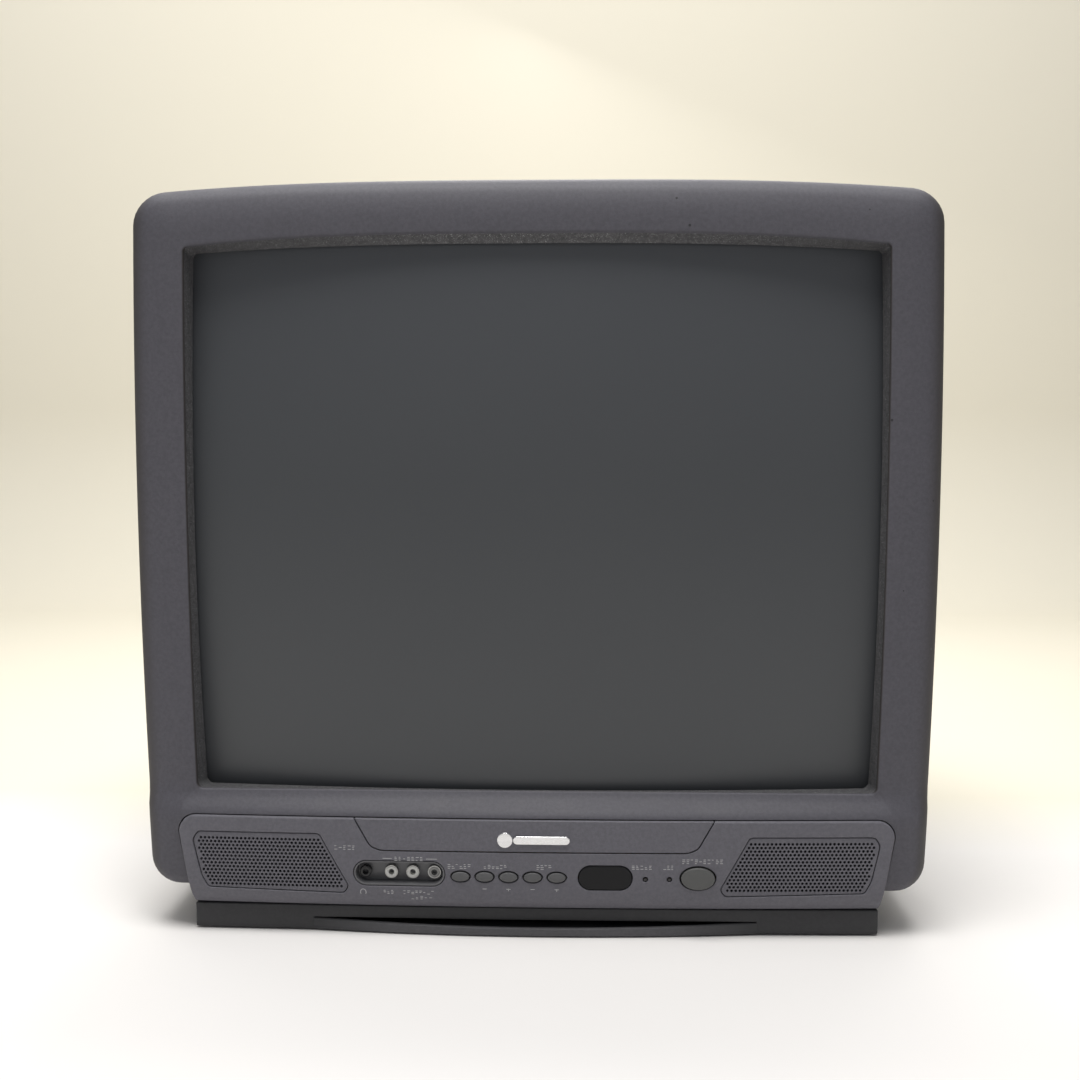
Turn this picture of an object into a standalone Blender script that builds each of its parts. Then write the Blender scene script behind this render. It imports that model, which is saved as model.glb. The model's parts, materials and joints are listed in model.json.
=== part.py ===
"""A 21 inch cathode ray tube television: cabinet, picture tube, chassis, speakers, jacks and buttons.

+Z is up, the screen faces -Y, and the origin is under the middle of the set, on the surface it stands on.
Lengths are written in millimetres and multiplied by MM. Most positions across the depth are written as a
distance behind the screen's lip: at(12) is 12 mm behind that plane, at(-8) is 8 mm in front of it.
"""

import math

import bmesh
import bpy
from mathutils import Matrix, Vector

MM = 0.001

# Driving dimensions, mm
CABINET_HALF = 250.4
CABINET_TOP = 467.0
CABINET_BOTTOM = 25.0
DEPTH = 482.0
PANEL_PROUD = 15.2
LIP_PLANE = -DEPTH / 2 + PANEL_PROUD
WIDEST_Z = 290.0
BOW = 3.2e-7
GAP = 0.35

FRAME_DEPTH = 95.0
FRAME_WALL = 3.0
EDGE_ROUND = 10.0
OPENING_HALF = 214.8
OPENING_LOW = 90.0
OPENING_HIGH = 433.2

PANEL_TOP = 75.5
PANEL_LOW = 16.9
PANEL_WALL = 2.5
PANEL_BULGE = 6.0
PANEL_EDGE_DY = -8.0
PANEL_CORNER = 11.0

PLINTH_HALF = 214.4
PLINTH_BACK = 295.0
PLINTH_LOW = 1.2
PLINTH_STEP = 16.6
PLINTH_TOP = 24.6
PLINTH_WALL = 4.0
HOLLOW_DY = 12.0
PLINTH_CEILING = 21.0
BAND_DY = -1.0
BAND_BOW = 3.0
STEP_DY = 8.0
FRONT_FOOT_DY = 26.5
REAR_FOOT_DY = 277.0
LIP_HALF = 143.0
LIP_WALL = 2.4
LIP_BOW = 7.0
LIP_DIP = 2.6
SLOT_TOP = 8.7
SLOT_LOW = 3.4

TUBE_Z = 258.5
TUBE_HALF_X = 225.0
TUBE_HALF_Z = 177.0
GLASS_RADIUS = 2000.0
GLASS_CENTRE_DY = 1.5
SKIRT_DY = 92.0
NECK_RADIUS = 14.5
NECK_END_DY = 430.0

CONTROL_Z = 39.6
KEY_XS = {"input_key": -45.1, "channel_down_key": -30.2, "channel_up_key": -15.4, "volume_down_key": -0.5,
          "volume_up_key": 14.4}
KEY_HOLE = (6.3, 3.8)
KEY_CAP = (5.5, 3.0)
POWER_X = 101.3
POWER_HOLE = (11.3, 7.8)
POWER_CAP = (10.4, 6.9)
LED_XS = {"standby_lamp": 83.8, "timer_lamp": 69.0}
LED_RADIUS = 1.3
JACK_XS = {"headphone_jack": -105.0, "video_jack": -88.9, "audio_left_jack": -75.5, "audio_right_jack": -62.0}
JACK_BAY = (-83.3, 40.8, 28.4, 8.0)
REMOTE_EYE = (44.3, 39.5, 16.6, 7.8)
GRILLE_OUTLINE = [(133, 65.5), (210, 65.5), (213.5, 60), (208.5, 37), (204.5, 29), (118, 27), (114.8, 32)]
LOGO_OUTLINE = [(-113, 78), (-101.5, 57.6), (-95, 55), (95, 55), (101.5, 57.6), (113, 78)]

COLOURS = {
    "cabinet": ((0.085, 0.083, 0.093), 0.62, 0.0),
    "panel": ((0.080, 0.079, 0.086), 0.60, 0.0),
    "rear_plastic": ((0.055, 0.055, 0.060), 0.68, 0.0),
    "black_plastic": ((0.012, 0.012, 0.013), 0.45, 0.0),
    "key": ((0.085, 0.085, 0.086), 0.50, 0.0),
    "badge": ((0.75, 0.75, 0.77), 0.25, 0.6),
    "screen_glass": ((0.055, 0.060, 0.065), 0.08, 0.0),
    "funnel_glass": ((0.030, 0.030, 0.032), 0.35, 0.0),
    "steel": ((0.55, 0.55, 0.56), 0.35, 1.0),
    "aluminium": ((0.72, 0.72, 0.73), 0.30, 1.0),
    "copper": ((0.60, 0.25, 0.12), 0.40, 1.0),
    "ferrite": ((0.045, 0.042, 0.040), 0.70, 0.0),
    "board": ((0.30, 0.20, 0.09), 0.55, 0.0),
    "rubber": ((0.015, 0.015, 0.015), 0.80, 0.0),
    "red_cable": ((0.35, 0.02, 0.02), 0.45, 0.0),
    "paper": ((0.025, 0.025, 0.027), 0.90, 0.0),
    "jack_white": ((0.70, 0.70, 0.68), 0.45, 0.0),
    "lamp_lens": ((0.020, 0.020, 0.022), 0.15, 0.0),
    "nylon": ((0.60, 0.58, 0.52), 0.50, 0.0),
}


# Scene, materials and small helpers

def clear_scene():
    for obj in list(bpy.data.objects):
        bpy.data.objects.remove(obj)


def make_materials():
    made = {}
    for name, (colour, roughness, metallic) in COLOURS.items():
        material = bpy.data.materials.new(name)
        material.use_nodes = True
        shader = material.node_tree.nodes["Principled BSDF"]
        shader.inputs["Base Color"].default_value = (*colour, 1.0)
        shader.inputs["Roughness"].default_value = roughness
        shader.inputs["Metallic"].default_value = metallic
        made[name] = material
    return made


def make_collection(name):
    collection = bpy.data.collections.new(name)
    bpy.context.scene.collection.children.link(collection)
    return collection


def at(dy):
    """World Y, in metres, of a place dy mm behind the plane of the screen's lip."""
    return (LIP_PLANE + dy) * MM


def add_object(name, mesh, material, helper=False):
    obj = bpy.data.objects.new(name, mesh)
    (CUTTERS if helper else PARTS).objects.link(obj)
    if material:
        mesh.materials.append(MATERIALS[material])
    if helper:
        obj.hide_render = True
        obj.display_type = "WIRE"
    return obj


def mesh_from(bm, name):
    """Turns a bmesh into a mesh datablock, with its faces pointing out."""
    bmesh.ops.recalc_face_normals(bm, faces=bm.faces)
    mesh = bpy.data.meshes.new(name)
    bm.to_mesh(mesh)
    bm.free()
    return mesh


def smooth(obj, degrees=35):
    obj.data.shade_smooth()
    obj.data.set_sharp_from_angle(angle=math.radians(degrees))
    return obj


def solidify(obj, thickness, offset=-1.0):
    modifier = obj.modifiers.new("Solidify", "SOLIDIFY")
    modifier.thickness = thickness * MM
    modifier.offset = offset
    modifier.use_even_offset = True
    return modifier


def boolean(obj, other, operation="DIFFERENCE"):
    modifier = obj.modifiers.new(operation.title() + " " + other.name, "BOOLEAN")
    modifier.operation = operation
    modifier.object = other
    modifier.solver = "EXACT"
    return modifier


def settle(obj):
    """Replaces the object's mesh by what its modifiers make of it, so that another piece can be cut with it."""
    bpy.context.view_layer.update()
    graph = bpy.context.evaluated_depsgraph_get()
    mesh = bpy.data.meshes.new_from_object(obj.evaluated_get(graph))
    obj.modifiers.clear()
    obj.data = mesh
    return obj


def join_all(obj, others):
    for other in others:
        boolean(obj, other, "UNION")
    settle(obj)
    for other in others:
        bpy.data.objects.remove(other)
    return obj


def cut_all(obj, cutters):
    """Cuts the object, then closes the hairline cracks that a long row of cuts leaves between its points."""
    for cutter in cutters:
        boolean(obj, cutter)
    settle(obj)
    bm = bmesh.new()
    bm.from_mesh(obj.data)
    bmesh.ops.remove_doubles(bm, verts=bm.verts, dist=0.00002)
    bmesh.ops.dissolve_degenerate(bm, edges=bm.edges, dist=0.00001)
    bm.to_mesh(obj.data)
    bm.free()
    return obj


# Solids

def box(name, low, high, material=None, helper=False, bevel=0.0):
    """A box between two corners: (x, dy, z) in mm, dy behind the lip plane."""
    bm = bmesh.new()
    bmesh.ops.create_cube(bm, size=1.0)
    size = [(b - a) * MM for a, b in zip(low, high)]
    bmesh.ops.scale(bm, vec=size, verts=bm.verts)
    if bevel:
        bmesh.ops.bevel(bm, geom=bm.edges[:], offset=bevel * MM, segments=2, affect="EDGES", profile=0.5)
    obj = add_object(name, mesh_from(bm, name), material, helper)
    obj.location = ((low[0] + high[0]) / 2 * MM, at((low[1] + high[1]) / 2), (low[2] + high[2]) / 2 * MM)
    return obj


def rod(name, x, z, dy_low, dy_high, radius, material=None, helper=False, sides=16, scale=(1, 1)):
    """A round or oval bar lying along Y."""
    bm = bmesh.new()
    bmesh.ops.create_cone(bm, cap_ends=True, segments=sides, radius1=radius * MM, radius2=radius * MM,
                          depth=(dy_high - dy_low) * MM)
    bmesh.ops.rotate(bm, matrix=Matrix.Rotation(math.radians(90), 3, "X"), verts=bm.verts)
    bmesh.ops.scale(bm, vec=(scale[0], 1, scale[1]), verts=bm.verts)
    obj = add_object(name, mesh_from(bm, name), material, helper)
    obj.location = (x * MM, at((dy_low + dy_high) / 2), z * MM)
    return obj


def turned(name, profile, x, z, material, steps=20, scale=(1, 1)):
    """A piece turned about an axis along Y: profile lists (radius, dy), from its front to its back."""
    mesh = bpy.data.meshes.new(name)
    points = [(radius * MM, 0, -dy * MM) for radius, dy in profile]
    mesh.from_pydata(points, [(i, i + 1) for i in range(len(points) - 1)], [])
    obj = add_object(name, mesh, material)
    screw = obj.modifiers.new("Screw", "SCREW")
    screw.axis = "Z"
    screw.steps = screw.render_steps = steps
    screw.use_merge_vertices = True
    screw.merge_threshold = 0.00005
    screw.use_smooth_shade = True
    settle(obj)
    bm = bmesh.new()
    bm.from_mesh(obj.data)
    bmesh.ops.remove_doubles(bm, verts=bm.verts, dist=0.00002)
    bmesh.ops.rotate(bm, matrix=Matrix.Rotation(math.radians(90), 3, "X"), verts=bm.verts)
    bmesh.ops.scale(bm, vec=(scale[0], 1, scale[1]), verts=bm.verts)
    bmesh.ops.recalc_face_normals(bm, faces=bm.faces)
    bm.to_mesh(obj.data)
    bm.free()
    obj.location = (x * MM, at(0), z * MM)
    return smooth(obj)


def prism(name, outline, dy_low, dy_high, material=None, helper=False):
    """An outline of (x, z) points in mm, made solid between two depths."""
    bm = bmesh.new()
    verts = [bm.verts.new((x * MM, at(dy_low), z * MM)) for x, z in outline]
    face = bm.faces.new(verts)
    made = bmesh.ops.extrude_face_region(bm, geom=[face])
    moved = [v for v in made["geom"] if isinstance(v, bmesh.types.BMVert)]
    bmesh.ops.translate(bm, vec=(0, (dy_high - dy_low) * MM, 0), verts=moved)
    return add_object(name, mesh_from(bm, name), material, helper)


def slab(name, outline, z_low, z_high, material=None, helper=False):
    """An outline of (x, dy) points in mm, made solid between two heights."""
    bm = bmesh.new()
    face = bm.faces.new([bm.verts.new((x * MM, at(dy), z_low * MM)) for x, dy in outline])
    made = bmesh.ops.extrude_face_region(bm, geom=[face])
    moved = [v for v in made["geom"] if isinstance(v, bmesh.types.BMVert)]
    bmesh.ops.translate(bm, vec=(0, 0, (z_high - z_low) * MM), verts=moved)
    return add_object(name, mesh_from(bm, name), material, helper)


def loft(name, sections, material, cap_start=False, cap_end=False):
    """A surface through closed loops that all have the same number of (x, y, z) points, in metres."""
    bm = bmesh.new()
    rings = [[bm.verts.new(p) for p in loop] for loop in sections]
    count = len(rings[0])
    for first, second in zip(rings, rings[1:]):
        for i in range(count):
            j = (i + 1) % count
            bm.faces.new((first[i], first[j], second[j], second[i]))
    if cap_start:
        bm.faces.new(rings[0])
    if cap_end:
        bm.faces.new(rings[-1])
    return add_object(name, mesh_from(bm, name), material)


def tube(name, points, radius, material, closed=False):
    """A round wire through points, as a curve whose ends are filled."""
    curve = bpy.data.curves.new(name, "CURVE")
    curve.dimensions = "3D"
    curve.bevel_depth = radius * MM
    curve.bevel_resolution = 1
    curve.use_fill_caps = not closed
    spline = curve.splines.new("POLY")
    spline.points.add(len(points) - 1)
    for point, place in zip(spline.points, points):
        point.co = (*place, 1.0)
    spline.use_cyclic_u = closed
    return add_object(name, curve, material)


# Outlines

def rounded(half_w, z_low, z_high, radius_low, radius_high, across=6, along=4, corner=4):
    """A rectangle with round corners, as (x, z) points that start at the bottom's left end."""
    points = []
    corners = [(-1, z_low, radius_low, 180), (1, z_low, radius_low, 270),
               (1, z_high, radius_high, 0), (-1, z_high, radius_high, 90)]
    for n, (side, z, radius, start) in enumerate(corners):
        centre = (side * (half_w - radius), z + radius * (1 if n < 2 else -1))
        for step in range(corner + 1):
            angle = math.radians(start + 90 * step / corner)
            points.append((centre[0] + radius * math.cos(angle), centre[1] + radius * math.sin(angle)))
        following = corners[(n + 1) % 4]
        end_angle = math.radians(following[3])
        end = (following[0] * (half_w - following[2]) + following[2] * math.cos(end_angle),
               following[1] + following[2] * (1 if (n + 1) % 4 < 2 else -1) + following[2] * math.sin(end_angle))
        start_point = points[-1]
        count = across if n % 2 == 0 else along
        for step in range(1, count):
            share = step / count
            points.append(tuple(a + (b - a) * share for a, b in zip(start_point, end)))
    return points


def bowed(points, arch):
    """The cabinet's own curves: its sides bow out at WIDEST_Z, and its top drops by arch mm at the corners."""
    made = []
    for x, z in points:
        width = 1 - BOW * (z - WIDEST_Z) ** 2
        top_share = max(0.0, (z - WIDEST_Z) / (CABINET_TOP - WIDEST_Z))
        made.append((x * width, z - arch * (abs(x) / CABINET_HALF) ** 3 * min(1.0, top_share)))
    return made


def ellipse(x, z, half_w, half_h, count=16):
    return [(x + half_w * math.cos(math.tau * i / count), z + half_h * math.sin(math.tau * i / count))
            for i in range(count)]


def stadium(x, z, half_w, half_h, count=8):
    """A slot with round ends."""
    points = []
    for side, start in ((1, -90), (-1, 90)):
        for i in range(count + 1):
            angle = math.radians(start + 180 * i / count)
            points.append((x + side * (half_w - half_h) + half_h * math.cos(angle), z + half_h * math.sin(angle)))
    return points


def inset(outline, amount):
    """Moves each edge of a convex outline inwards by amount mm, or outwards where amount is below zero."""
    area = sum(a[0] * b[1] - b[0] * a[1] for a, b in zip(outline, outline[1:] + outline[:1])) / 2
    turn = 1 if area > 0 else -1
    made = []
    for i, point in enumerate(outline):
        before, after = Vector(outline[i - 1]), Vector(outline[(i + 1) % len(outline)])
        point = Vector(point)
        first, second = (point - before).normalized(), (after - point).normalized()
        normals = [Vector((-edge.y, edge.x)) * turn for edge in (first, second)]
        bisector = (normals[0] + normals[1]).normalized()
        moved = point + bisector * (amount / max(0.3, bisector.dot(normals[0])))
        made.append(tuple(moved))
    return made


def mirrored(outline):
    return [(-x, z) for x, z in reversed(outline)]


# The cabinet's front

def glass_dy(x, z):
    """How far behind the lip plane the picture tube's face lies."""
    return GLASS_CENTRE_DY + (x ** 2 + (z - TUBE_Z) ** 2) / (2 * GLASS_RADIUS)


def sill_forward(x, z):
    """The frame's face comes forward under the screen, to meet the control panel."""
    share = min(1.0, max(0.0, (OPENING_LOW - z) / (OPENING_LOW - PANEL_TOP)))
    ease = share * share * (3 - 2 * share)
    return (6.5 + PANEL_BULGE * max(0.0, 1 - (x / 225.0) ** 2)) * ease


def panel_half(z):
    """Half the control panel's width at a height."""
    return 214.5 + 0.161 * (z - 17)


def panel_dy(x, z):
    """The control panel's front: bulged across, and curling under at its foot."""
    bulge = PANEL_EDGE_DY - PANEL_BULGE * max(0.0, 1 - (x / 225.0) ** 2)
    below = max(0.0, (60 - z) / 43)
    return bulge + 2.2 * below ** 2 + 7.0 * below ** 8


def make_front_frame():
    opening = bowed(rounded(OPENING_HALF, OPENING_LOW, OPENING_HIGH, 4, 3), 15)
    glass_edge = bowed(rounded(OPENING_HALF - 1.7, OPENING_LOW - 0.9, OPENING_HIGH - 5.7, 4, 3), 9)
    rim = bowed(rounded(OPENING_HALF + 1.2, OPENING_LOW - 1.2, OPENING_HIGH + 1.2, 5, 4), 15)

    def outer(step_in):
        radius = 20 - step_in
        return bowed(rounded(CABINET_HALF - step_in, CABINET_BOTTOM + step_in, CABINET_TOP - step_in,
                             radius, radius), 8)

    def section(outline, dy, follow_sill=True):
        return [(x * MM, at(dy - (sill_forward(x, z) if follow_sill else 0)), z * MM) for x, z in outline]

    face_edge = outer(EDGE_ROUND)
    sections = [
        [(x * MM, at(glass_dy(x, z) - 2.4), z * MM) for x, z in glass_edge],
        section(opening, 1.2, False),
        section(rim, 0, True),
        section([tuple(a + (b - a) * 0.5 for a, b in zip(p, q)) for p, q in zip(rim, face_edge)], 0.4),
        section(face_edge, 3.0),
    ]
    for step in range(1, 5):
        angle = math.radians(22.5 * step)
        outline = outer(EDGE_ROUND * (1 - math.sin(angle)))
        sections.append(section(outline, 3.0 + EDGE_ROUND * (1 - math.cos(angle)), step < 3))
    sections.append(section(outer(0), FRAME_DEPTH, False))
    frame = loft("front_frame", sections, "cabinet")
    solidify(frame, FRAME_WALL)
    settle(frame)
    posts = []
    for side in (-1, 1):
        for z in (75, 441):
            post = rod("post", side * 231, z, 1.5, 62, 6, "cabinet", sides=12)
            posts.append(post)
    join_all(frame, posts)
    aperture = prism("panel_aperture", panel_outline(0.9), -40, 3, helper=True)
    pilots = [rod("pilot", side * 231, z, 42, 70, 1.9, helper=True, sides=10)
              for side in (-1, 1) for z in (75, 441)]
    cut_all(frame, [aperture] + pilots)
    return smooth(frame)


def panel_outline(grow):
    """The control panel's outline, grown by some mm."""
    low, high = PANEL_LOW - 12, PANEL_TOP
    corner = PANEL_CORNER
    points = []
    for side in (1, -1):
        arc = [(side * (panel_half(high - corner) - corner + (corner + grow) * math.cos(math.radians(a))),
                high - corner + (corner + grow) * math.sin(math.radians(a))) for a in range(0, 91, 15)]
        foot = [(side * (panel_half(low) + grow), low)]
        points += foot + arc if side > 0 else arc[::-1] + foot
    return points


def panel_grid():
    """The control panel's face as rows of (x, z), with its two upper corners rounded."""
    rows = [PANEL_TOP, 72.5, 69, PANEL_TOP - PANEL_CORNER, 50, 36, 28, 23.5, 20, PANEL_LOW]
    steps = [0, 3.0, 6.5, 11]
    inner = [i / 6 for i in range(-5, 6)]
    grid = []
    for z in rows:
        half = panel_half(min(z, PANEL_TOP - PANEL_CORNER))
        core = half - PANEL_CORNER
        xs = [-half + s for s in steps] + [core * i for i in inner] + [half - s for s in reversed(steps)]
        row = []
        for x in xs:
            a, b = (abs(x) - core) / PANEL_CORNER, (z - PANEL_TOP + PANEL_CORNER) / PANEL_CORNER
            if a > 0 and b > 0:
                share = max(a, b) / math.hypot(a, b)
                row.append((math.copysign(core + a * share * PANEL_CORNER, x),
                            PANEL_TOP - PANEL_CORNER + b * share * PANEL_CORNER))
            else:
                row.append((x, z))
        grid.append(row)
    return grid


def panel_surface(name, material, wall, back=0.0, skirt=0.0):
    """The control panel's face, back mm behind its place, with its border turned back by skirt mm."""
    bm = bmesh.new()
    grid = [[bm.verts.new((x * MM, at(panel_dy(x, z) + back), z * MM)) for x, z in row] for row in panel_grid()]
    for upper, lower in zip(grid, grid[1:]):
        for i in range(len(upper) - 1):
            bm.faces.new((upper[i], lower[i], lower[i + 1], upper[i + 1]))
    if skirt:
        border = [edge for edge in bm.edges if edge.is_boundary]
        made = bmesh.ops.extrude_edge_only(bm, edges=border)
        moved = [v for v in made["geom"] if isinstance(v, bmesh.types.BMVert)]
        bmesh.ops.translate(bm, vec=(0, skirt * MM, 0), verts=moved)
    obj = add_object(name, mesh_from(bm, name), material)
    if sum(face.normal.y for face in obj.data.polygons) > 0:
        obj.data.flip_normals()
    solidify(obj, wall)
    return settle(obj)


def key_shapes():
    """Every key's hole: name, centre x and the hole's half sizes."""
    return [(name, x, KEY_HOLE) for name, x in KEY_XS.items()] + [("power_button", POWER_X, POWER_HOLE)]


def make_control_panel():
    panel = panel_surface("control_panel", "panel", PANEL_WALL, skirt=7.0)
    cutters = [prism("key_hole", ellipse(x, CONTROL_Z, *hole), -30, 12, helper=True)
               for _, x, hole in key_shapes()]
    cutters += [prism("lamp_hole", ellipse(x, 38.8, LED_RADIUS + 0.4, LED_RADIUS + 0.4, 12), -30, 12, helper=True)
                for x in LED_XS.values()]
    for x, z, half_w, half_h in (JACK_BAY, REMOTE_EYE):
        cutters.append(prism("bay_hole", stadium(x, z, half_w + GAP, half_h + GAP), -30, 12, helper=True))
    for outline in (GRILLE_OUTLINE, mirrored(GRILLE_OUTLINE)):
        cutters.append(prism("grille_hole", outline, -30, 12, helper=True))
    cutters.append(prism("logo_hole", LOGO_OUTLINE, -30, 12, helper=True))
    cut_all(panel, cutters)
    posts = [rod("post", x, z, panel_dy(x, z) + 1.5, 9.6, 2.4, sides=8)
             for x, z in ((-50, 33.5), (24, 34), (76.4, 33.5), (76.4, 48))]
    join_all(panel, posts)
    return smooth(panel)


def make_panel_insert(name, outline, material, wall, back, step_in):
    """A piece of the panel's own curved face that drops into one of its holes."""
    piece = panel_surface(name, material, wall, back)
    prism_piece = prism(name + "_outline", inset(outline, step_in), -30, 12, helper=True)
    boolean(piece, prism_piece, "INTERSECT")
    return smooth(settle(piece))


def make_badge():
    """A plain bar with a round end stop, in front of the logo panel."""
    front = panel_dy(0, 63)
    bar = prism("badge", stadium(5, 63.3, 17.5, 2.6, 6), front - 1.2, front - GAP, "badge")
    dot = prism("badge_dot", ellipse(-17.5, 63.3, 4.8, 4.8, 16), front - 1.2, front - GAP, "badge")
    bridge = prism("badge_bridge", [(-16, 62.7), (-10, 62.7), (-10, 63.9), (-16, 63.9)], front - 0.9,
                   front - GAP, "badge")
    return join_all(bar, [dot, bridge])


def make_jack_bay():
    x, z, half_w, half_h = JACK_BAY
    front = panel_dy(x, z)
    bay = prism("jack_bay", stadium(x, z, half_w, half_h), front + 0.4, front + 10.4, "black_plastic")
    cutters = [prism("bay_recess", stadium(x, z, half_w - 1.2, half_h - 1.2), front - 5, front + 9.0, helper=True)]
    for name, jack_x in JACK_XS.items():
        radius = 3.6 if name == "headphone_jack" else 4.15
        cutters.append(rod("jack_hole", jack_x, CONTROL_Z + 0.4, front, front + 20, radius + GAP, helper=True,
                           sides=12))
    return cut_all(bay, cutters)


def make_jacks():
    floor = panel_dy(JACK_BAY[0], JACK_BAY[1]) + 9.0
    for name, x in JACK_XS.items():
        headphone = name == "headphone_jack"
        barrel, bore = (3.6, 1.8) if headphone else (4.15, 1.7)
        body = 5.2
        profile = [(bore, floor + 9), (bore, floor - 3.5), (barrel - 0.4, floor - 3.5), (barrel, floor - 3.1),
                   (barrel, floor + 1.8), (body, floor + 1.8), (body, floor + 12.5), (0, floor + 12.5),
                   (0, floor + 9), (bore, floor + 9)]
        turned(name, profile, x, CONTROL_Z + 0.4, "black_plastic" if headphone else "jack_white", steps=12)


def make_keys():
    board_dy = 10.0
    for name, x, hole in key_shapes():
        power = name == "power_button"
        half_w, half_h = POWER_CAP if power else KEY_CAP
        face = panel_dy(x, CONTROL_Z) - (1.6 if power else 0.9)
        travel = 4.0 if power else 1.2
        end = board_dy - 5 - travel - 0.3
        cap = prism(name, ellipse(x, CONTROL_Z, half_w, half_h), face + 0.6, face + 8, "key")
        crown = prism("crown", ellipse(x, CONTROL_Z, half_w - 0.6, half_h - 0.6), face, face + 2, "key")
        stem = rod("stem", x, CONTROL_Z, face + 6, end, 2.6 if power else 1.4, "key", sides=10)
        join_all(cap, [crown, stem])
        smooth(cap)


def make_control_board():
    board = box("control_board", (-118, 10, 31), (118, 11.6, 51), "board")
    switches = [box("switch", (x - 3, 5, CONTROL_Z - 3), (x + 3, 10.5, CONTROL_Z + 3), "black_plastic")
                for x in KEY_XS.values()]
    join_all(board, switches)
    holes = [rod("jack_clear", x, CONTROL_Z + 0.4, 0, 30, 5.6, helper=True, sides=12) for x in JACK_XS.values()]
    holes.append(box("switch_clear", (POWER_X - 9, 0, 31.5), (POWER_X + 9, 30, 50.5), helper=True))
    cut_all(board, holes)
    box("power_switch", (POWER_X - 8.5, 5, 32), (POWER_X + 8.5, 34, 49), "black_plastic", bevel=0.6)
    for name, x in LED_XS.items():
        front = panel_dy(x, 38.8)
        smooth(rod(name, x, 38.8, front + 0.7, 9.6, LED_RADIUS, "lamp_lens", sides=12))
    receiver = box("remote_receiver", (REMOTE_EYE[0] - 6, 2, 34), (REMOTE_EYE[0] + 6, 9.6, 46), "steel", bevel=0.5)
    lens = rod("receiver_lens", REMOTE_EYE[0], 40, -1.5, 4, 3.5, "black_plastic", sides=14)
    join_all(receiver, [lens])


# The plinth under the cabinet

def band_dy(x):
    """The plinth's front, seen from above: a shallow bow."""
    return BAND_DY - BAND_BOW * max(0.0, 1 - (x / PLINTH_HALF) ** 2)


def lip_front(x):
    """The front of the lip that stands before the finger slot, seen from above: it bows forward."""
    return band_dy(x) + 0.6 - LIP_BOW * (1 - (x / LIP_HALF) ** 2)


def lip_section(x):
    """One section of the lip, whose top dips at its middle."""
    front = lip_front(x)
    top = SLOT_TOP - GAP - LIP_DIP * (1 - (x / LIP_HALF) ** 2)
    edge = 0.6
    corners = [(front, PLINTH_LOW), (front, top - edge), (front + edge, top), (front + LIP_WALL, top),
               (front + LIP_WALL, PLINTH_LOW)]
    return [(x * MM, at(dy), z * MM) for dy, z in corners]


def make_plinth():
    """The plinth: open below, stepped back under the cabinet, and notched at its front for the lip."""
    count, past = 16, 15.0
    front = [PLINTH_HALF * (2 * i / count - 1) for i in range(count + 1)]
    outline = [(x, band_dy(x)) for x in front] + [(PLINTH_HALF, PLINTH_BACK), (-PLINTH_HALF, PLINTH_BACK)]
    plinth = slab("plinth", outline, PLINTH_LOW, PLINTH_TOP, "rear_plastic")
    inner_half = PLINTH_HALF - PLINTH_WALL
    step = box("step", (-PLINTH_HALF - past, -past, PLINTH_STEP), (PLINTH_HALF + past, STEP_DY, PLINTH_TOP + past),
               helper=True)
    hollow = box("hollow", (-inner_half, HOLLOW_DY, -past),
                 (inner_half, PLINTH_BACK - PLINTH_WALL, PLINTH_CEILING), helper=True)
    slot = box("slot", (-LIP_HALF - GAP, -past, -past), (LIP_HALF + GAP, HOLLOW_DY + 2.0, SLOT_TOP), helper=True)
    cut_all(plinth, [step, hollow, slot])


def make_plinth_lip():
    """The lip and, behind it, the floor of the finger slot. Its ends meet the plinth's."""
    count = 16
    across = [LIP_HALF * (2 * i / count - 1) for i in range(count + 1)]
    lip = loft("plinth_lip", [lip_section(x) for x in across], "rear_plastic", cap_start=True, cap_end=True)
    outline = [(x, lip_front(x) + LIP_WALL / 2) for x in across]
    outline += [(LIP_HALF, HOLLOW_DY), (-LIP_HALF, HOLLOW_DY)]
    join_all(lip, [slab("slot_floor", outline, PLINTH_LOW, SLOT_LOW, "rear_plastic")])


def make_feet():
    """Four tall rubber feet, each standing in a corner of the plinth's hollow and reaching its ceiling."""
    radius, taper, facets = 10.5, 1.0, 18
    height = PLINTH_CEILING - GAP
    x = PLINTH_HALF - PLINTH_WALL - GAP - radius
    for end, dy in (("front", FRONT_FOOT_DY), ("rear", REAR_FOOT_DY)):
        for side, side_name in ((-1, "left"), (1, "right")):
            bm = bmesh.new()
            bmesh.ops.create_cone(bm, cap_ends=True, segments=facets, radius1=(radius - taper) * MM,
                                  radius2=radius * MM, depth=height * MM)
            foot = add_object(f"{end}_{side_name}_foot", mesh_from(bm, "foot"), "rubber")
            foot.location = (side * x * MM, at(dy), height / 2 * MM)
            smooth(foot)


# The rear cover

REAR_STATIONS = [
    # dy, half width, top, corner radius, arch of the top
    (95.4, 250.4, 467.0, 20, 8.0),
    (148.0, 248.0, 464.0, 22, 7.5),
    (160.0, 240.0, 456.0, 24, 7.0),
    (235.0, 222.0, 430.0, 28, 5.0),
    (310.0, 196.0, 392.0, 32, 3.0),
    (385.0, 164.0, 352.0, 34, 1.5),
    (448.0, 148.0, 334.0, 34, 0.5),
    (459.0, 144.0, 330.0, 34, 0.3),
    (464.0, 136.0, 322.0, 30, 0.0),
]
COVER_WALL = 3.0


def station_outline(half, top, radius, arch, low=CABINET_BOTTOM):
    """The cover's section at one depth."""
    points = rounded(half, low, top, min(radius, 20), radius)
    return [(x * (1 - BOW * (z - WIDEST_Z) ** 2 * half / CABINET_HALF), z - arch * (abs(x) / half) ** 3
             * max(0.0, (z - WIDEST_Z * top / CABINET_TOP) / (top * (1 - WIDEST_Z / CABINET_TOP))))
            for x, z in points]


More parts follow.
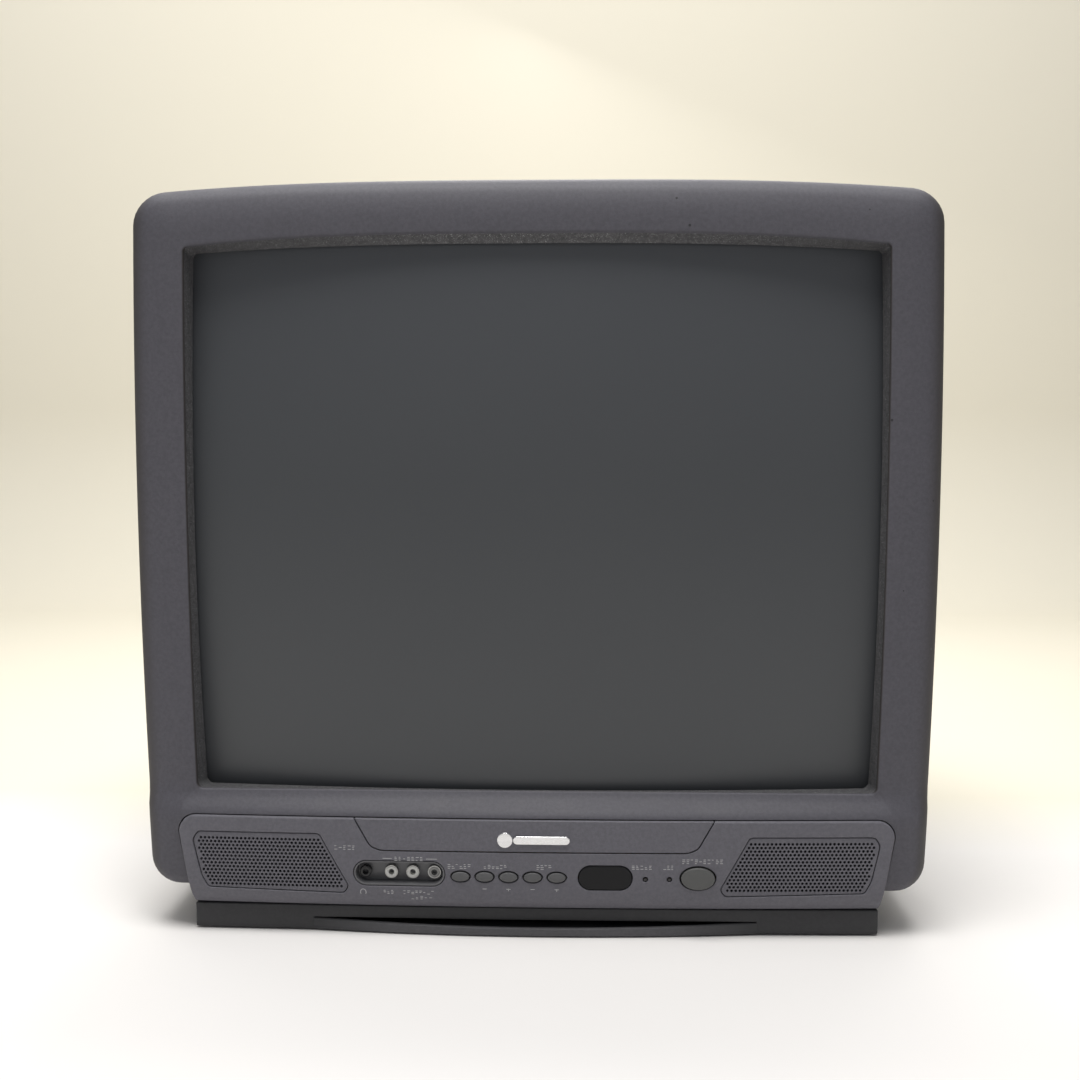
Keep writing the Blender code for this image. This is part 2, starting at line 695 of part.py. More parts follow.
def make_rear_cover():
    sections = []
    for dy, half, top, radius, arch in REAR_STATIONS:
        low = CABINET_BOTTOM + (8 if dy > 463 else 0)
        outline = station_outline(half, top, radius, arch, low)
        sections.append([(x * MM, at(dy), z * MM) for x, z in outline])
    cover = loft("rear_cover", sections, "rear_plastic", cap_end=True)
    solidify(cover, COVER_WALL)
    settle(cover)
    cutters = []
    for i in range(-3, 4):
        for dy in (178, 200):
            cutters.append(box("top_vent", (i * 40 - 15, dy, 250), (i * 40 + 15, dy + 5, 500), helper=True))
    for i in range(5):
        cutters.append(box("back_vent", (-90, 440, 238 + i * 13), (90, 480, 243 + i * 13), helper=True))
    cutters.append(box("terminal_hole", (-118, 440, 55), (28, 480, 115), helper=True))
    cutters.append(rod("aerial_hole", 70, 80, 440, 480, 9, helper=True, sides=20))
    cutters.append(rod("gland_hole", 60, 46, 440, 480, 6.5, helper=True, sides=16))
    cutters += [rod("screw_hole", x, 42, 440, 480, 2.0, helper=True, sides=8) for x in (-122, 122)]
    cut_all(cover, cutters)
    return smooth(cover)


def make_rear_fittings():
    panel = box("terminal_panel", (-117.6, 455, 55.4), (27.6, 461, 114.6), "black_plastic", bevel=0.8)
    jacks = []
    for row, z in enumerate((98, 73)):
        for i in range(4):
            x = -98 + i * 28
            jacks.append(rod("socket", x, z, 452, 463.2, 4.15, "jack_white", sides=10))
    join_all(panel, jacks)
    holes = [rod("socket_bore", -98 + i * 28, z, 455.5, 470, 1.7, helper=True, sides=8)
             for z in (98, 73) for i in range(4)]
    cut_all(panel, holes)
    tuner = box("tuner", (45, 392, 58), (95, 452, 106), "steel", bevel=1.0)
    aerial = rod("aerial_socket", 70, 80, 450, 463.8, 6.5, "steel", sides=18)
    join_all(tuner, [aerial])
    cut_all(tuner, [rod("aerial_bore", 70, 80, 456, 480, 3.0, helper=True, sides=14)])
    gland = rod("cord_gland", 60, 46, 452, 463.6, 6.1, "rubber", sides=16)
    collar = rod("gland_collar", 60, 46, 451, 457.0, 9, "rubber", sides=16)
    join_all(gland, [collar])
    cut_all(gland, [rod("gland_bore", 60, 46, 440, 480, 3.2, helper=True, sides=12)])
    smooth(gland)


# The picture tube

def tube_section(half_x, half_z, radius, dy_of):
    outline = rounded(half_x, TUBE_Z - half_z, TUBE_Z + half_z, radius, radius, across=4, along=3, corner=3)
    return [(x * MM, at(dy_of(x, z)), z * MM) for x, z in outline]


# dy behind the lip plane, share of the faceplate's size that the section keeps, and how round it is
FUNNEL_STATIONS = [(SKIRT_DY + GAP, 1.0, 0.0), (SKIRT_DY + 5, 1.0, 0.0), (SKIRT_DY + 24, 0.93, 0.05),
                   (165, 0.74, 0.22), (210, 0.51, 0.45), (245, 0.30, 0.75), (270, 0.15, 1.0),
                   (290, 0.08, 1.0), (308, 0.03, 1.0), (326, 0.0, 1.0), (NECK_END_DY, 0.0, 1.0)]


def flare(dy):
    """The funnel's half width at a depth."""
    for (start, first, _), (end, second, _) in zip(FUNNEL_STATIONS, FUNNEL_STATIONS[1:]):
        if start <= dy <= end:
            share = first + (second - first) * (dy - start) / (end - start)
            return NECK_RADIUS + (TUBE_HALF_X - NECK_RADIUS) * share
    return NECK_RADIUS


def make_tube():
    def glass(extra):
        return lambda x, z: glass_dy(x, z) + extra

    shares = (0.1, 0.4, 0.7, 0.985)
    face = [tube_section(TUBE_HALF_X * s, TUBE_HALF_Z * s, 26 * s, glass(0)) for s in shares]
    face.append(tube_section(TUBE_HALF_X, TUBE_HALF_Z, 26, glass(3.5)))
    face.append(tube_section(TUBE_HALF_X, TUBE_HALF_Z, 26, lambda x, z: SKIRT_DY))
    plate = loft("crt_faceplate", face, "screen_glass", cap_start=True)
    if sum(p.normal.y * p.area for p in plate.data.polygons) > 0:
        plate.data.flip_normals()
    solidify(plate, 9.0)
    settle(plate)
    smooth(plate)

    rings = []
    for dy, share, roundness in FUNNEL_STATIONS:
        half_x = NECK_RADIUS + (TUBE_HALF_X - NECK_RADIUS) * share
        half_z = NECK_RADIUS + (TUBE_HALF_Z - NECK_RADIUS) * share
        radius = min(26 + (half_z - 26) * roundness, half_z * 0.9)
        rings.append(tube_section(half_x, half_z, radius, lambda x, z, dy=dy: dy))
    funnel = loft("crt_funnel", rings, "funnel_glass")
    solidify(funnel, 4.0)
    settle(funnel)
    smooth(funnel)

    turned("electron_gun", [(0, 325), (4, 325), (6.5, 328), (6.5, 345), (5, 347), (5, 360), (7, 362), (7, 385),
                            (5, 387), (5, 408), (8.5, 410), (8.5, 431.5), (0, 431.5)], 0, TUBE_Z,
           "steel", steps=14)
    mask_shares = (0.08, 0.5, 0.93)
    mask_rings = [tube_section(205 * s, 158 * s, 20 * s, glass(22)) for s in mask_shares]
    mask_rings.append(tube_section(206, 159, 20, glass(40)))
    mask = loft("shadow_mask", mask_rings, "steel", cap_start=True)
    solidify(mask, 0.8)
    settle(mask)

    grow = 0.5
    half_x, half_z = TUBE_HALF_X + grow, TUBE_HALF_Z + grow
    band_low, band_high = 50.0, 78.0
    loops = [tube_section(half_x, half_z, 26 + grow, lambda x, z: band_low),
             tube_section(half_x, half_z, 26 + grow, lambda x, z: band_high)]
    band = loft("tension_band", loops, "steel")
    if sum(p.normal.dot(p.center - Vector((0, p.center.y, TUBE_Z * MM))) for p in band.data.polygons) > 0:
        band.data.flip_normals()
    solidify(band, 1.4)
    settle(band)
    ears = []
    for side in (-1, 1):
        for up in (-1, 1):
            ear_x, ear_z = side * 231, 258 + up * 183
            z_near = TUBE_Z + up * (half_z - 16)
            low = (min(ear_x - 7, side * 212), 63.0, min(ear_z + up * 7, z_near))
            high = (max(ear_x + 7, side * 212), 65.0, max(ear_z + up * 7, z_near))
            ears.append(box("ear", low, high, "steel"))
    join_all(band, ears)
    tube_clear = loft("tube_clear", [tube_section(half_x - 0.15, half_z - 0.15, 26.35, lambda x, z: 40.0),
                                     tube_section(half_x - 0.15, half_z - 0.15, 26.35, lambda x, z: 90.0)],
                      None, cap_start=True, cap_end=True)
    tube_clear.hide_render = True
    screw_clear = [rod("screw_clear", side * 231, z, 55, 75, 2.6, helper=True, sides=12)
                   for side in (-1, 1) for z in (75, 441)]
    cut_all(band, [tube_clear] + screw_clear)
    bpy.data.objects.remove(tube_clear)


def make_yoke():
    depths = [374, 326, 308, 290, 272]
    liner = [(flare(dy) + 2.0, dy) for dy in depths] + [(flare(dy) + 3.9, dy) for dy in reversed(depths)]
    turned("yoke_liner", liner + liner[:1], 0, TUBE_Z, "nylon", steps=18)
    coil = [(flare(dy) + 5.2, dy) for dy in (350, 326, 308, 290, 274)]
    coil += [(60, 276), (58, 290), (45, 306), (43, 350)]
    turned("deflection_yoke", coil + coil[:1], 0, TUBE_Z, "copper", steps=20)
    turned("purity_rings", [(16.2, 378), (24, 378), (24, 382), (17.5, 382), (17.5, 384), (24, 384), (24, 388),
                            (17.5, 388), (17.5, 390), (24, 390), (24, 394), (16.2, 394), (16.2, 378)], 0, TUBE_Z,
           "ferrite", steps=14)
    board = box("neck_board", (-42, 436, TUBE_Z - 46), (42, 437.6, TUBE_Z + 42), "board")
    socket = rod("tube_socket", 0, TUBE_Z, 432.2, 446, 13, "black_plastic", sides=16)
    join_all(board, [socket])


def build_chassis():
    board = box("main_board", (-128, 112, 34), (128, 440, 35.6), "board")
    standoffs = [box("standoff", (x - 4, dy - 4, 28.4), (x + 4, dy + 4, 34.4), "board")
                 for x in (-110, 110) for dy in (130, 420)]
    join_all(board, standoffs)
    flyback = box("flyback_transformer", (-118, 300, 36), (-74, 345, 92), "black_plastic", bevel=2.0)
    core = box("flyback_core", (-112, 288, 44), (-80, 357, 60), "ferrite")
    outlet = rod("flyback_outlet", -96, 80, 290, 305, 7, "black_plastic", sides=14)
    join_all(flyback, [core, outlet])
    sink = box("heat_sink", (30, 250, 36), (34, 330, 86), "aluminium")
    fins = [box("fin", (33, 252 + i * 14, 38), (54, 254.4 + i * 14, 86), "aluminium") for i in range(6)]
    join_all(sink, fins)
    mains = box("power_transformer", (70, 160, 36), (112, 205, 78), "ferrite", bevel=1.5)
    winding = box("winding", (76, 152, 40), (106, 213, 72), "copper", bevel=3.0)
    join_all(mains, [winding])
    capacitor = bmesh.new()
    bmesh.ops.create_cone(capacitor, cap_ends=True, segments=20, radius1=15 * MM, radius2=15 * MM, depth=42 * MM)
    can = add_object("filter_capacitor", mesh_from(capacitor, "filter_capacitor"), "rubber")
    can.location = (40 * MM, at(182), 57.2 * MM)
    smooth(can)


def make_speakers():
    """Two oval drivers behind the grilles: a steel basket with its magnet, and a paper cone."""
    for side, name in ((-1, "left"), (1, "right")):
        x, z = side * 164, 48.0
        squash = (1.0, 0.46)
        turned(name + "_speaker_basket", [(34, -2.5), (40, -2.5), (40, -0.5), (36, 2), (24, 20), (16, 23), (16, 40),
                                          (0, 40), (0, 22), (14, 20), (22, 17), (34, 0), (34, -2.5)], x, z,
               "steel", steps=16, scale=squash)
        turned(name + "_speaker_cone", [(0, 8), (9, 10), (33, -2.2), (33.5, -1.4), (31, 1.5), (14, 14), (9, 16.5),
                                        (0, 16.5)], x, z, "paper", steps=16, scale=squash)


def make_degauss_coil():
    """A bundle of wire round the tube's skirt, behind the band's ears."""
    outline = rounded(TUBE_HALF_X + 5.5, TUBE_Z - TUBE_HALF_Z - 5.5, TUBE_Z + TUBE_HALF_Z + 5.5, 31, 31,
                      across=3, along=2, corner=4)
    tube("degauss_coil", [(x * MM, at(85), z * MM) for x, z in outline], 4.0, "rubber", closed=True)


def make_anode_lead():
    """The high-voltage lead, from the cap on the funnel to the flyback transformer."""
    start = Vector((-22, 222, TUBE_Z + 134))
    way = [start, Vector((-40, 240, TUBE_Z + 128)), Vector((-80, 262, TUBE_Z + 92)),
           Vector((-108, 276, TUBE_Z + 20)), Vector((-114, 278, 170)), Vector((-106, 280, 110)),
           Vector((-97, 282, 88)), Vector((-96, 287, 80.5))]
    points = []
    for i in range(len(way) - 1):
        before, after = way[max(i - 1, 0)], way[min(i + 2, len(way) - 1)]
        for step in range(3):
            t = step / 3
            a, b = way[i], way[i + 1]
            m, n = (b - before) * 0.5, (after - a) * 0.5
            points.append(a * (2 * t ** 3 - 3 * t ** 2 + 1) + m * (t ** 3 - 2 * t ** 2 + t)
                          + b * (3 * t ** 2 - 2 * t ** 3) + n * (t ** 3 - t ** 2))
    points.append(way[-1])
    tube("anode_lead", [(p.x * MM, at(p.y), p.z * MM) for p in points], 2.2, "red_cable")


def make_anode_cap():
    bm = bmesh.new()
    bmesh.ops.create_cone(bm, cap_ends=True, segments=16, radius1=15 * MM, radius2=5.5 * MM, depth=9 * MM)
    cap = add_object("anode_cap", mesh_from(bm, "anode_cap"), "rubber")
    cap.rotation_euler = (math.radians(-48), 0, 0)
    cap.location = (-18 * MM, at(204), (TUBE_Z + 116) * MM)
    smooth(cap)


def make_screws():
    """Four that hold the tube's ears to the frame's posts, and four that hold the rear cover."""
    for side, side_name in ((-1, "left"), (1, "right")):
        for z, level in ((75, "lower"), (441, "upper")):
            name = f"tube_screw_{level}_{side_name}"
            head = rod(name, side * 231, z, 65.4, 69.4, 5.5, "steel", sides=14)
            shank = rod("shank", side * 231, z, 45, 66, 1.5, "steel", sides=8)
            join_all(head, [shank])
        name = f"cover_screw_{side_name}"
        head = rod(name, side * 122, 42, 464.3, 466.8, 4.0, "steel", sides=12)
        shank = rod("shank", side * 122, 42, 452, 465, 1.6, "steel", sides=8)
        join_all(head, [shank])


def main():
    make_front_frame()
    make_control_panel()
    make_panel_insert("logo_panel", LOGO_OUTLINE, "panel", 2.2, 0.0, 0.55)
    make_panel_insert("left_grille", mirrored(GRILLE_OUTLINE), "panel", 1.6, 0.6, GAP)
    make_panel_insert("right_grille", GRILLE_OUTLINE, "panel", 1.6, 0.6, GAP)
    make_panel_insert("remote_window", stadium(*REMOTE_EYE), "black_plastic", 2.0, 0.5, 0.0)
    make_badge()
    make_jack_bay()
    make_jacks()
    make_keys()
    make_control_board()
    make_plinth()
    make_plinth_lip()
    make_feet()
    make_rear_cover()
    make_rear_fittings()
    make_tube()
    make_yoke()
    make_anode_cap()
    make_anode_lead()
    build_chassis()
    make_speakers()
    make_degauss_coil()
    make_screws()


clear_scene()
MATERIALS = make_materials()
PARTS = make_collection("crt_television")
CUTTERS = make_collection("cutters")
main()
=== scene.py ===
import json
import math

import bmesh
import bpy
import numpy as np
from mathutils import Matrix, Vector


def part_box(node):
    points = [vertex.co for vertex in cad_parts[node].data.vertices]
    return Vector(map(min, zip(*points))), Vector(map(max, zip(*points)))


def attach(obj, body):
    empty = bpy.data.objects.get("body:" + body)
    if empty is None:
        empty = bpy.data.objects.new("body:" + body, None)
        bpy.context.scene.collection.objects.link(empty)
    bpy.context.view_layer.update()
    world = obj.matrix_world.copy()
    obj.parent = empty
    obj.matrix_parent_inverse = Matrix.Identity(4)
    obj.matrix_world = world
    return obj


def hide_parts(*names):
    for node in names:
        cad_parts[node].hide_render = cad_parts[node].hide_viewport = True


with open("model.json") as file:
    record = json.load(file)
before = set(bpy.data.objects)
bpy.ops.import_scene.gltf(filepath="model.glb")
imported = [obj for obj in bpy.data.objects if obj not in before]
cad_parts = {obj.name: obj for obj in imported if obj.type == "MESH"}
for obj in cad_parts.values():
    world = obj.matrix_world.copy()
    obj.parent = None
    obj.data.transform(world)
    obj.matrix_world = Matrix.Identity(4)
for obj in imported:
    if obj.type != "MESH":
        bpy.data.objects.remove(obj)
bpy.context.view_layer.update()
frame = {"nodes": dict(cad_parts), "record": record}
nodes = frame["nodes"]
scene = bpy.context.scene
mm = 0.001

# Places are written in millimetres as x, back, z, where back is how far behind the plane of the screen's lip a
# place is
skirtBack = 92.0
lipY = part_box("crt_faceplate")[1].y / mm - skirtBack
cabinet = {"half": 250.4, "top": 467.0, "low": 25.0, "widestZ": 290.0, "bow": 3.2e-7, "back": 95.0,
           "edgeRound": 10.0, "wall": 3.0, "corner": 20.0, "arch": 8.0}
opening = {"half": 214.8, "low": 90.0, "high": 433.2, "arch": 15.0}
tube = {"z": 258.5, "halfX": 225.0, "halfZ": 177.0, "radius": 2000.0, "centreBack": 1.5, "corner": 26.0}
panel = {"top": 75.5, "low": 16.9, "corner": 11.0, "bulge": 6.0, "edgeBack": -8.0, "wall": 1.2, "skirt": 7.0,
         "sill": 6.5, "curlFrom": 60, "curlTo": 17, "curl": 2.2, "tuck": 7.0, "half": 214.5, "widen": 0.161}
controlZ = 39.6


# One output of a node. Adding, subtracting, multiplying, dividing or comparing two wires, or a wire and a
# number, adds the Math node that does it
class Wire:
    def __init__(self, tree, socket=None):
        self.tree = tree
        self.socket = socket

    def node(self, kind, sockets=None, out=0, **settings):
        made = self.tree.nodes.new(kind)
        for key, value in settings.items():
            setattr(made, key, value)
        for key, value in (sockets or {}).items():
            if isinstance(value, Wire):
                self.tree.links.new(value.socket, made.inputs[key])
            else:
                made.inputs[key].default_value = value
        return Wire(self.tree, made.outputs[out])

    def sum(self, operation, *values):
        return self.node("ShaderNodeMath", dict(enumerate(values)), operation=operation)

    def __add__(self, other):
        return self.sum("ADD", self, other)

    def __radd__(self, other):
        return self.sum("ADD", other, self)

    def __sub__(self, other):
        return self.sum("SUBTRACT", self, other)

    def __rsub__(self, other):
        return self.sum("SUBTRACT", other, self)

    def __mul__(self, other):
        return self.sum("MULTIPLY", self, other)

    def __rmul__(self, other):
        return self.sum("MULTIPLY", other, self)

    def __truediv__(self, other):
        return self.sum("DIVIDE", self, other)

    def __rtruediv__(self, other):
        return self.sum("DIVIDE", other, self)

    def __lt__(self, other):
        return self.sum("LESS_THAN", self, other)

    def __gt__(self, other):
        return self.sum("GREATER_THAN", self, other)

    def clamp(self, low=0.0, high=1.0):
        return self.sum("MINIMUM", self.sum("MAXIMUM", self, low), high)

    # The first colour where this wire is 0, the second where it is 1
    def blend(self, first, second):
        first = first if isinstance(first, Wire) else rgb(first)
        second = second if isinstance(second, Wire) else rgb(second)
        return self.node("ShaderNodeMix", {0: self, 6: first, 7: second}, 2, data_type="RGBA")

    def noise(self, scale, detail=2.0, **settings):
        return self.node("ShaderNodeTexNoise", {"Vector": self, "Scale": scale, "Detail": detail, **settings})

    def stretch(self, scale):
        return self.node("ShaderNodeMapping", {"Vector": self, "Scale": scale})

    def bump(self, strength, distance):
        return self.node("ShaderNodeBump", {"Strength": strength, "Distance": distance, "Height": self})


def rgb(colour):
    return (*colour, 1.0)


# A material whose fixed values stand on the shader's own sockets, with its shader and its Object coordinates
def newMaterial(name, **fixed):
    material = bpy.data.materials.new(name)
    material.use_nodes = True
    shader = material.node_tree.nodes["Principled BSDF"]
    sockets = {"rough": "Roughness", "specular": "Specular IOR Level", "ior": "IOR", "metallic": "Metallic"}
    for key, value in fixed.items():
        shader.inputs[sockets[key]].default_value = value
    return material, shader, Wire(material.node_tree).node("ShaderNodeTexCoord", out=3)


def plug(shader, **wires):
    sockets = {"colour": "Base Color", "rough": "Roughness", "normal": "Normal"}
    for key, wire in wires.items():
        wire.tree.links.new(wire.socket, shader.inputs[sockets[key]])


# Grained plastic: clouds of tint, a fine salt-and-pepper, sparse dark and pale specks, and dust where the face
# looks up, which is the normal's z above 0.55 times a cloud. Sides is how strong a painted shade is where the
# normal's x is beyond 0.25, ends is how far from the middle a darker stretch starts, and fine glints can be
# painted in as painted highlights
def grainedPlastic(name, colour, rough=0.62, grain=0.22, grainSize=1300.0, pepper=0.12, specks=0.5, dust=0.10,
                   sparkle=0.0, sides=0.0, ends=0.0):
    material, shader, place = newMaterial(name, specular=0.40)
    cloud = place.noise(9.0, 3.0)
    fine = place.noise(grainSize, 2.0, Roughness=0.6)
    coarse = place.noise(grainSize * 0.36, 1.0)
    lighter = [min(1.0, c * (1 + pepper)) for c in colour]
    darker = [c * (1 - pepper) for c in colour]
    base = ((fine + coarse - 0.72) * 1.8).clamp().blend(darker, lighter)
    base = ((cloud - 0.35) * 0.6).clamp().blend(base, [c * 1.05 for c in colour])
    cells = {"Vector": place, "Scale": 62.0}
    middle = place.node("ShaderNodeTexVoronoi", cells)
    chance = place.node("ShaderNodeTexWhiteNoise", {0: place.node("ShaderNodeTexVoronoi", cells, 2)})
    base = ((middle < 0.05) * (chance < specks) * 0.85).blend(base, (0.015, 0.015, 0.016))
    base = ((middle < 0.035) * (chance > 0.92) * 0.7).blend(base, (0.30, 0.30, 0.30))
    facing = place.node("ShaderNodeNewGeometry", out=1)
    # Painted shade: faces that turn sideways are darkened towards a warm brown, standing in for the shade on
    # the sides
    if sides:
        sideShadeNormal = place.node("ShaderNodeSeparateXYZ", {0: facing})
        away = ((sideShadeNormal.sum("ABSOLUTE", sideShadeNormal) - 0.25) * 1.8).clamp()
        base = (away * sides).blend(base, (0.034, 0.029, 0.027))
    if ends:
        across = place.node("ShaderNodeSeparateXYZ", {0: place})
        away = ((across.sum("ABSOLUTE", across) - ends) * 22.0).clamp()
        base = away.blend(base, (0.040, 0.040, 0.042))
    up = place.node("ShaderNodeSeparateXYZ", {0: facing}, 2)
    settled = ((up - 0.55) * 2.0).clamp() * ((place.noise(55.0, 5.0) - 0.42) * 3.0).clamp() * dust
    base = settled.blend(base, (0.33, 0.31, 0.28))
    # Painted highlights: sparse pale glints put into the colour, where light would catch the grain
    if sparkle:
        paintedGlint = place.noise(2300.0, 0.0) > 0.74
        base = (paintedGlint * sparkle).blend(base, (0.42, 0.43, 0.42))
    plug(shader, colour=base, rough=(cloud - 0.5) * 0.10 + (fine - 0.5) * 0.14 + settled * 0.4 + rough,
         normal=(fine * 0.6 + coarse * 0.4).bump(grain, 0.0004))
    return material


# Smooth moulding: a faint orange peel in the bump, and fingerprints and fine scratches in the roughness
def smoothMoulding(name, colour, rough=0.24, smudge=0.16, specular=0.5):
    material, shader, place = newMaterial(name, specular=specular)
    cloud = place.noise(38.0, 4.0, Distortion=1.2)
    scratch = place.stretch((900, 40, 60)).noise(1.0, 1.0)
    base = (cloud * 0.6).clamp().blend(colour, [c * 1.22 + 0.002 for c in colour])
    plug(shader, colour=base, rough=(cloud - 0.45) * smudge + (scratch - 0.5) * 0.08 + rough,
         normal=place.noise(260.0).bump(0.05, 0.0003))
    return material


# The tube's dark glass over its grey phosphor: a soft haze, fine dots, painted light that makes it paler
# towards its top, and a darker border
def tubeGlass(name):
    material, shader, place = newMaterial(name, ior=1.54)
    haze = place.noise(6.0, 4.0)
    middle = (0.0, 0.0, tube["z"] * mm)
    centred = place.node("ShaderNodeVectorMath", {0: place, 1: middle}, operation="SUBTRACT")
    across = centred.node("ShaderNodeSeparateXYZ", {0: centred})
    upwards = centred.node("ShaderNodeSeparateXYZ", {0: centred}, 2)
    side = ((across.sum("ABSOLUTE", across) - 0.190) * 40.0).clamp()
    end = ((upwards.sum("ABSOLUTE", upwards) - 0.150) * 40.0).clamp()
    base = haze.blend((0.044, 0.0475, 0.052), (0.0485, 0.0515, 0.0555))
    # Painted light: the glass turns paler towards its top
    base = (upwards * 4.5 - 0.1).clamp().blend(base, (0.064, 0.068, 0.076))
    base = (side.sum("MAXIMUM", side, end) * 0.12).blend(base, (0.032, 0.034, 0.038))
    base = ((place.noise(420.0, 1.0) - 0.5) * 0.2).clamp().blend(base, (0.07, 0.07, 0.072))
    plug(shader, colour=base, rough=(haze - 0.5) * 0.10 + 0.42)
    return material


# Metal: fine lines along one axis, with stains that turn it darker and rougher
def workedMetal(name, colour, rough=0.32, brush=(40, 900, 900), stain=0.25):
    material, shader, place = newMaterial(name, metallic=1.0)
    lines = place.stretch(brush).noise(1.0, 3.0)
    blot = place.noise(45.0, 4.0)
    base = (blot * 0.5 + lines * 0.3).clamp().blend([c * 0.72 for c in colour], colour)
    plug(shader, colour=base, rough=(blot - 0.5) * stain + (lines - 0.5) * 0.2 + rough,
         normal=lines.bump(0.12, 0.0002))
    return material


# Laminated board: paper fibres over a brick pattern of tracks, whose mortar is the green lacquer between them
def laminate(name):
    material, shader, place = newMaterial(name)
    fibre = place.stretch((700, 700, 120)).noise(1.0)
    colours = {"Color1": rgb((0.17, 0.10, 0.035)), "Color2": rgb((0.20, 0.13, 0.045)),
               "Mortar": rgb((0.05, 0.09, 0.03))}
    track = place.node("ShaderNodeTexBrick", {"Vector": place, "Scale": 40.0, "Mortar Size": 0.05, **colours})
    plug(shader, colour=(fibre * 0.4).blend(track, (0.30, 0.20, 0.09)), rough=fibre * 0.3 + 0.38)
    return material


# Enamelled winding: turns of wire as a wave in the bump, and the same wave in the colour as painted shade,
# darker in the grooves between turns
def wireWinding(name):
    material, shader, place = newMaterial(name, metallic=0.85, rough=0.35)
    turns = place.node("ShaderNodeTexWave", {"Vector": place, "Scale": 420.0, "Distortion": 1.5}, 1)
    plug(shader, colour=turns.blend((0.20, 0.06, 0.02), (0.55, 0.22, 0.09)), normal=turns.bump(0.5, 0.0003))
    return material


# Matte stuff such as rubber, graphite and paper: a soft grit and a grey bloom
def matteStuff(name, colour, rough=0.8, size=500.0, bloom=0.10, grain=0.25):
    material, shader, place = newMaterial(name, specular=0.3)
    grit = place.noise(size, 3.0)
    grey = (place.noise(28.0, 3.0) * bloom + grit * 0.12).clamp()
    base = grey.blend(colour, [c * 1.5 + 0.02 for c in colour])
    plug(shader, colour=base, rough=(grit - 0.5) * 0.15 + rough, normal=grit.bump(grain, 0.0003))
    return material


finish = {
    # The cabinet's sides get painted shade
    "cabinet": grainedPlastic("cabinetGrain", (0.075, 0.0725, 0.085), sides=0.9),
    # The reveal's pale glints are painted highlights
    "reveal": grainedPlastic("revealGrain", (0.066, 0.065, 0.068), pepper=0.35, grainSize=900.0, grain=0.6,
                             sparkle=0.85, dust=0.0),
    # Painted light: the panel's grey is set lighter than the cabinet's, for the light its front catches from
    # above
    "panel": grainedPlastic("panelGrain", (0.116, 0.113, 0.130), grain=0.18, specks=0.12, dust=0.06),
    "rear_plastic": grainedPlastic("coverGrain", (0.058, 0.058, 0.061), rough=0.7, grain=0.4, grainSize=900.0,
                                   specks=0.2, dust=0.07),
    "plinthPlastic": grainedPlastic("plinthGrain", (0.034, 0.034, 0.036), rough=0.6, grain=0.2, specks=0.15,
                                    dust=0.08),
    "lipPlastic": grainedPlastic("lipGrain", (0.074, 0.073, 0.078), specks=0.1, dust=0.06, ends=0.090),
    "key": grainedPlastic("keyGrain", (0.088, 0.088, 0.090), rough=0.48, grain=0.06, pepper=0.05, specks=0.0,
                          dust=0.04),
    "powerKey": grainedPlastic("powerKeyGrain", (0.084, 0.085, 0.083), rough=0.42, grain=0.05, pepper=0.04,
                               specks=0.0, dust=0.04),
    "black_plastic": smoothMoulding("blackMoulding", (0.010, 0.010, 0.011)),
    "bayBlack": smoothMoulding("bayMoulding", (0.11, 0.11, 0.115), rough=0.35),
    "window": smoothMoulding("windowMoulding", (0.006, 0.006, 0.007), rough=0.30, smudge=0.08,
                             specular=0.22),
    "jack_white": smoothMoulding("whiteMoulding", (0.62, 0.62, 0.59), rough=0.35),
    "jackGrey": smoothMoulding("greyMoulding", (0.26, 0.26, 0.25), rough=0.35),
    "jackYellow": smoothMoulding("yellowMoulding", (0.62, 0.42, 0.03), rough=0.35),
    "jackRed": smoothMoulding("redMoulding", (0.50, 0.02, 0.02), rough=0.35),
    "lamp_lens": smoothMoulding("lampMoulding", (0.012, 0.010, 0.010), rough=0.12, smudge=0.04),
    "nylon": smoothMoulding("nylonMoulding", (0.55, 0.53, 0.47), rough=0.5),
    "print": smoothMoulding("panelPrint", (0.42, 0.42, 0.42), rough=0.6, smudge=0.1),
    "badge": workedMetal("badgePlate", (0.93, 0.93, 0.93), rough=0.26, brush=(60, 500, 500), stain=0.06),
    "steel": workedMetal("platedSteel", (0.55, 0.55, 0.53)),
    "aluminium": workedMetal("clearAluminium", (0.75, 0.75, 0.76), brush=(900, 40, 900)),
    "screen_glass": tubeGlass("screenGlass"),
    "funnel_glass": matteStuff("graphiteCoat", (0.022, 0.022, 0.024), rough=0.55, size=220.0),
    "copper": wireWinding("enamelWinding"),
    "ferrite": matteStuff("ferriteCore", (0.035, 0.033, 0.031), rough=0.62),
    "board": laminate("laminatedBoard"),
    "rubber": matteStuff("blackRubber", (0.016, 0.016, 0.017), rough=0.78),
    "red_cable": matteStuff("redSleeving", (0.33, 0.02, 0.02), rough=0.5, grain=0.1),
    "paper": matteStuff("conePaper", (0.020, 0.020, 0.021), rough=0.95, size=900.0, bloom=0.05),
    "cloth": matteStuff("speakerCloth", (0.006, 0.006, 0.006), rough=0.95, size=1200.0, bloom=0.03),
}
slotOf = {part["node"]: part["material_slot"] for part in frame["record"]["subparts"]}
for name, node in nodes.items():
    node.data.materials.clear()
    node.data.materials.append(finish[slotOf[name]])
print("finishes:", len(finish))


# Millimetres to metres, with back counted from the lip's plane
def toWorld(points):
    return (np.asarray(points, float) + (0.0, lipY, 0.0)) * mm


def newMesh(name, points, faces):
    mesh = bpy.data.meshes.new(name)
    mesh.from_pydata(toWorld(points).tolist(), [], [list(map(int, face)) for face in faces])
    mesh.update()
    piece = bpy.data.objects.new(name, mesh)
    scene.collection.objects.link(piece)
    return piece


# Gives a finished mesh its material, its body and the nodes that it stands for
def settle(piece, material, body="cabinet", replaces=(), smooth=35.0):
    piece.data.materials.clear()
    piece.data.materials.append(finish[material])
    piece.data.shade_smooth()
    piece.data.set_sharp_from_angle(angle=math.radians(smooth))
    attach(piece, body)
    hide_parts(*replaces)
    return piece


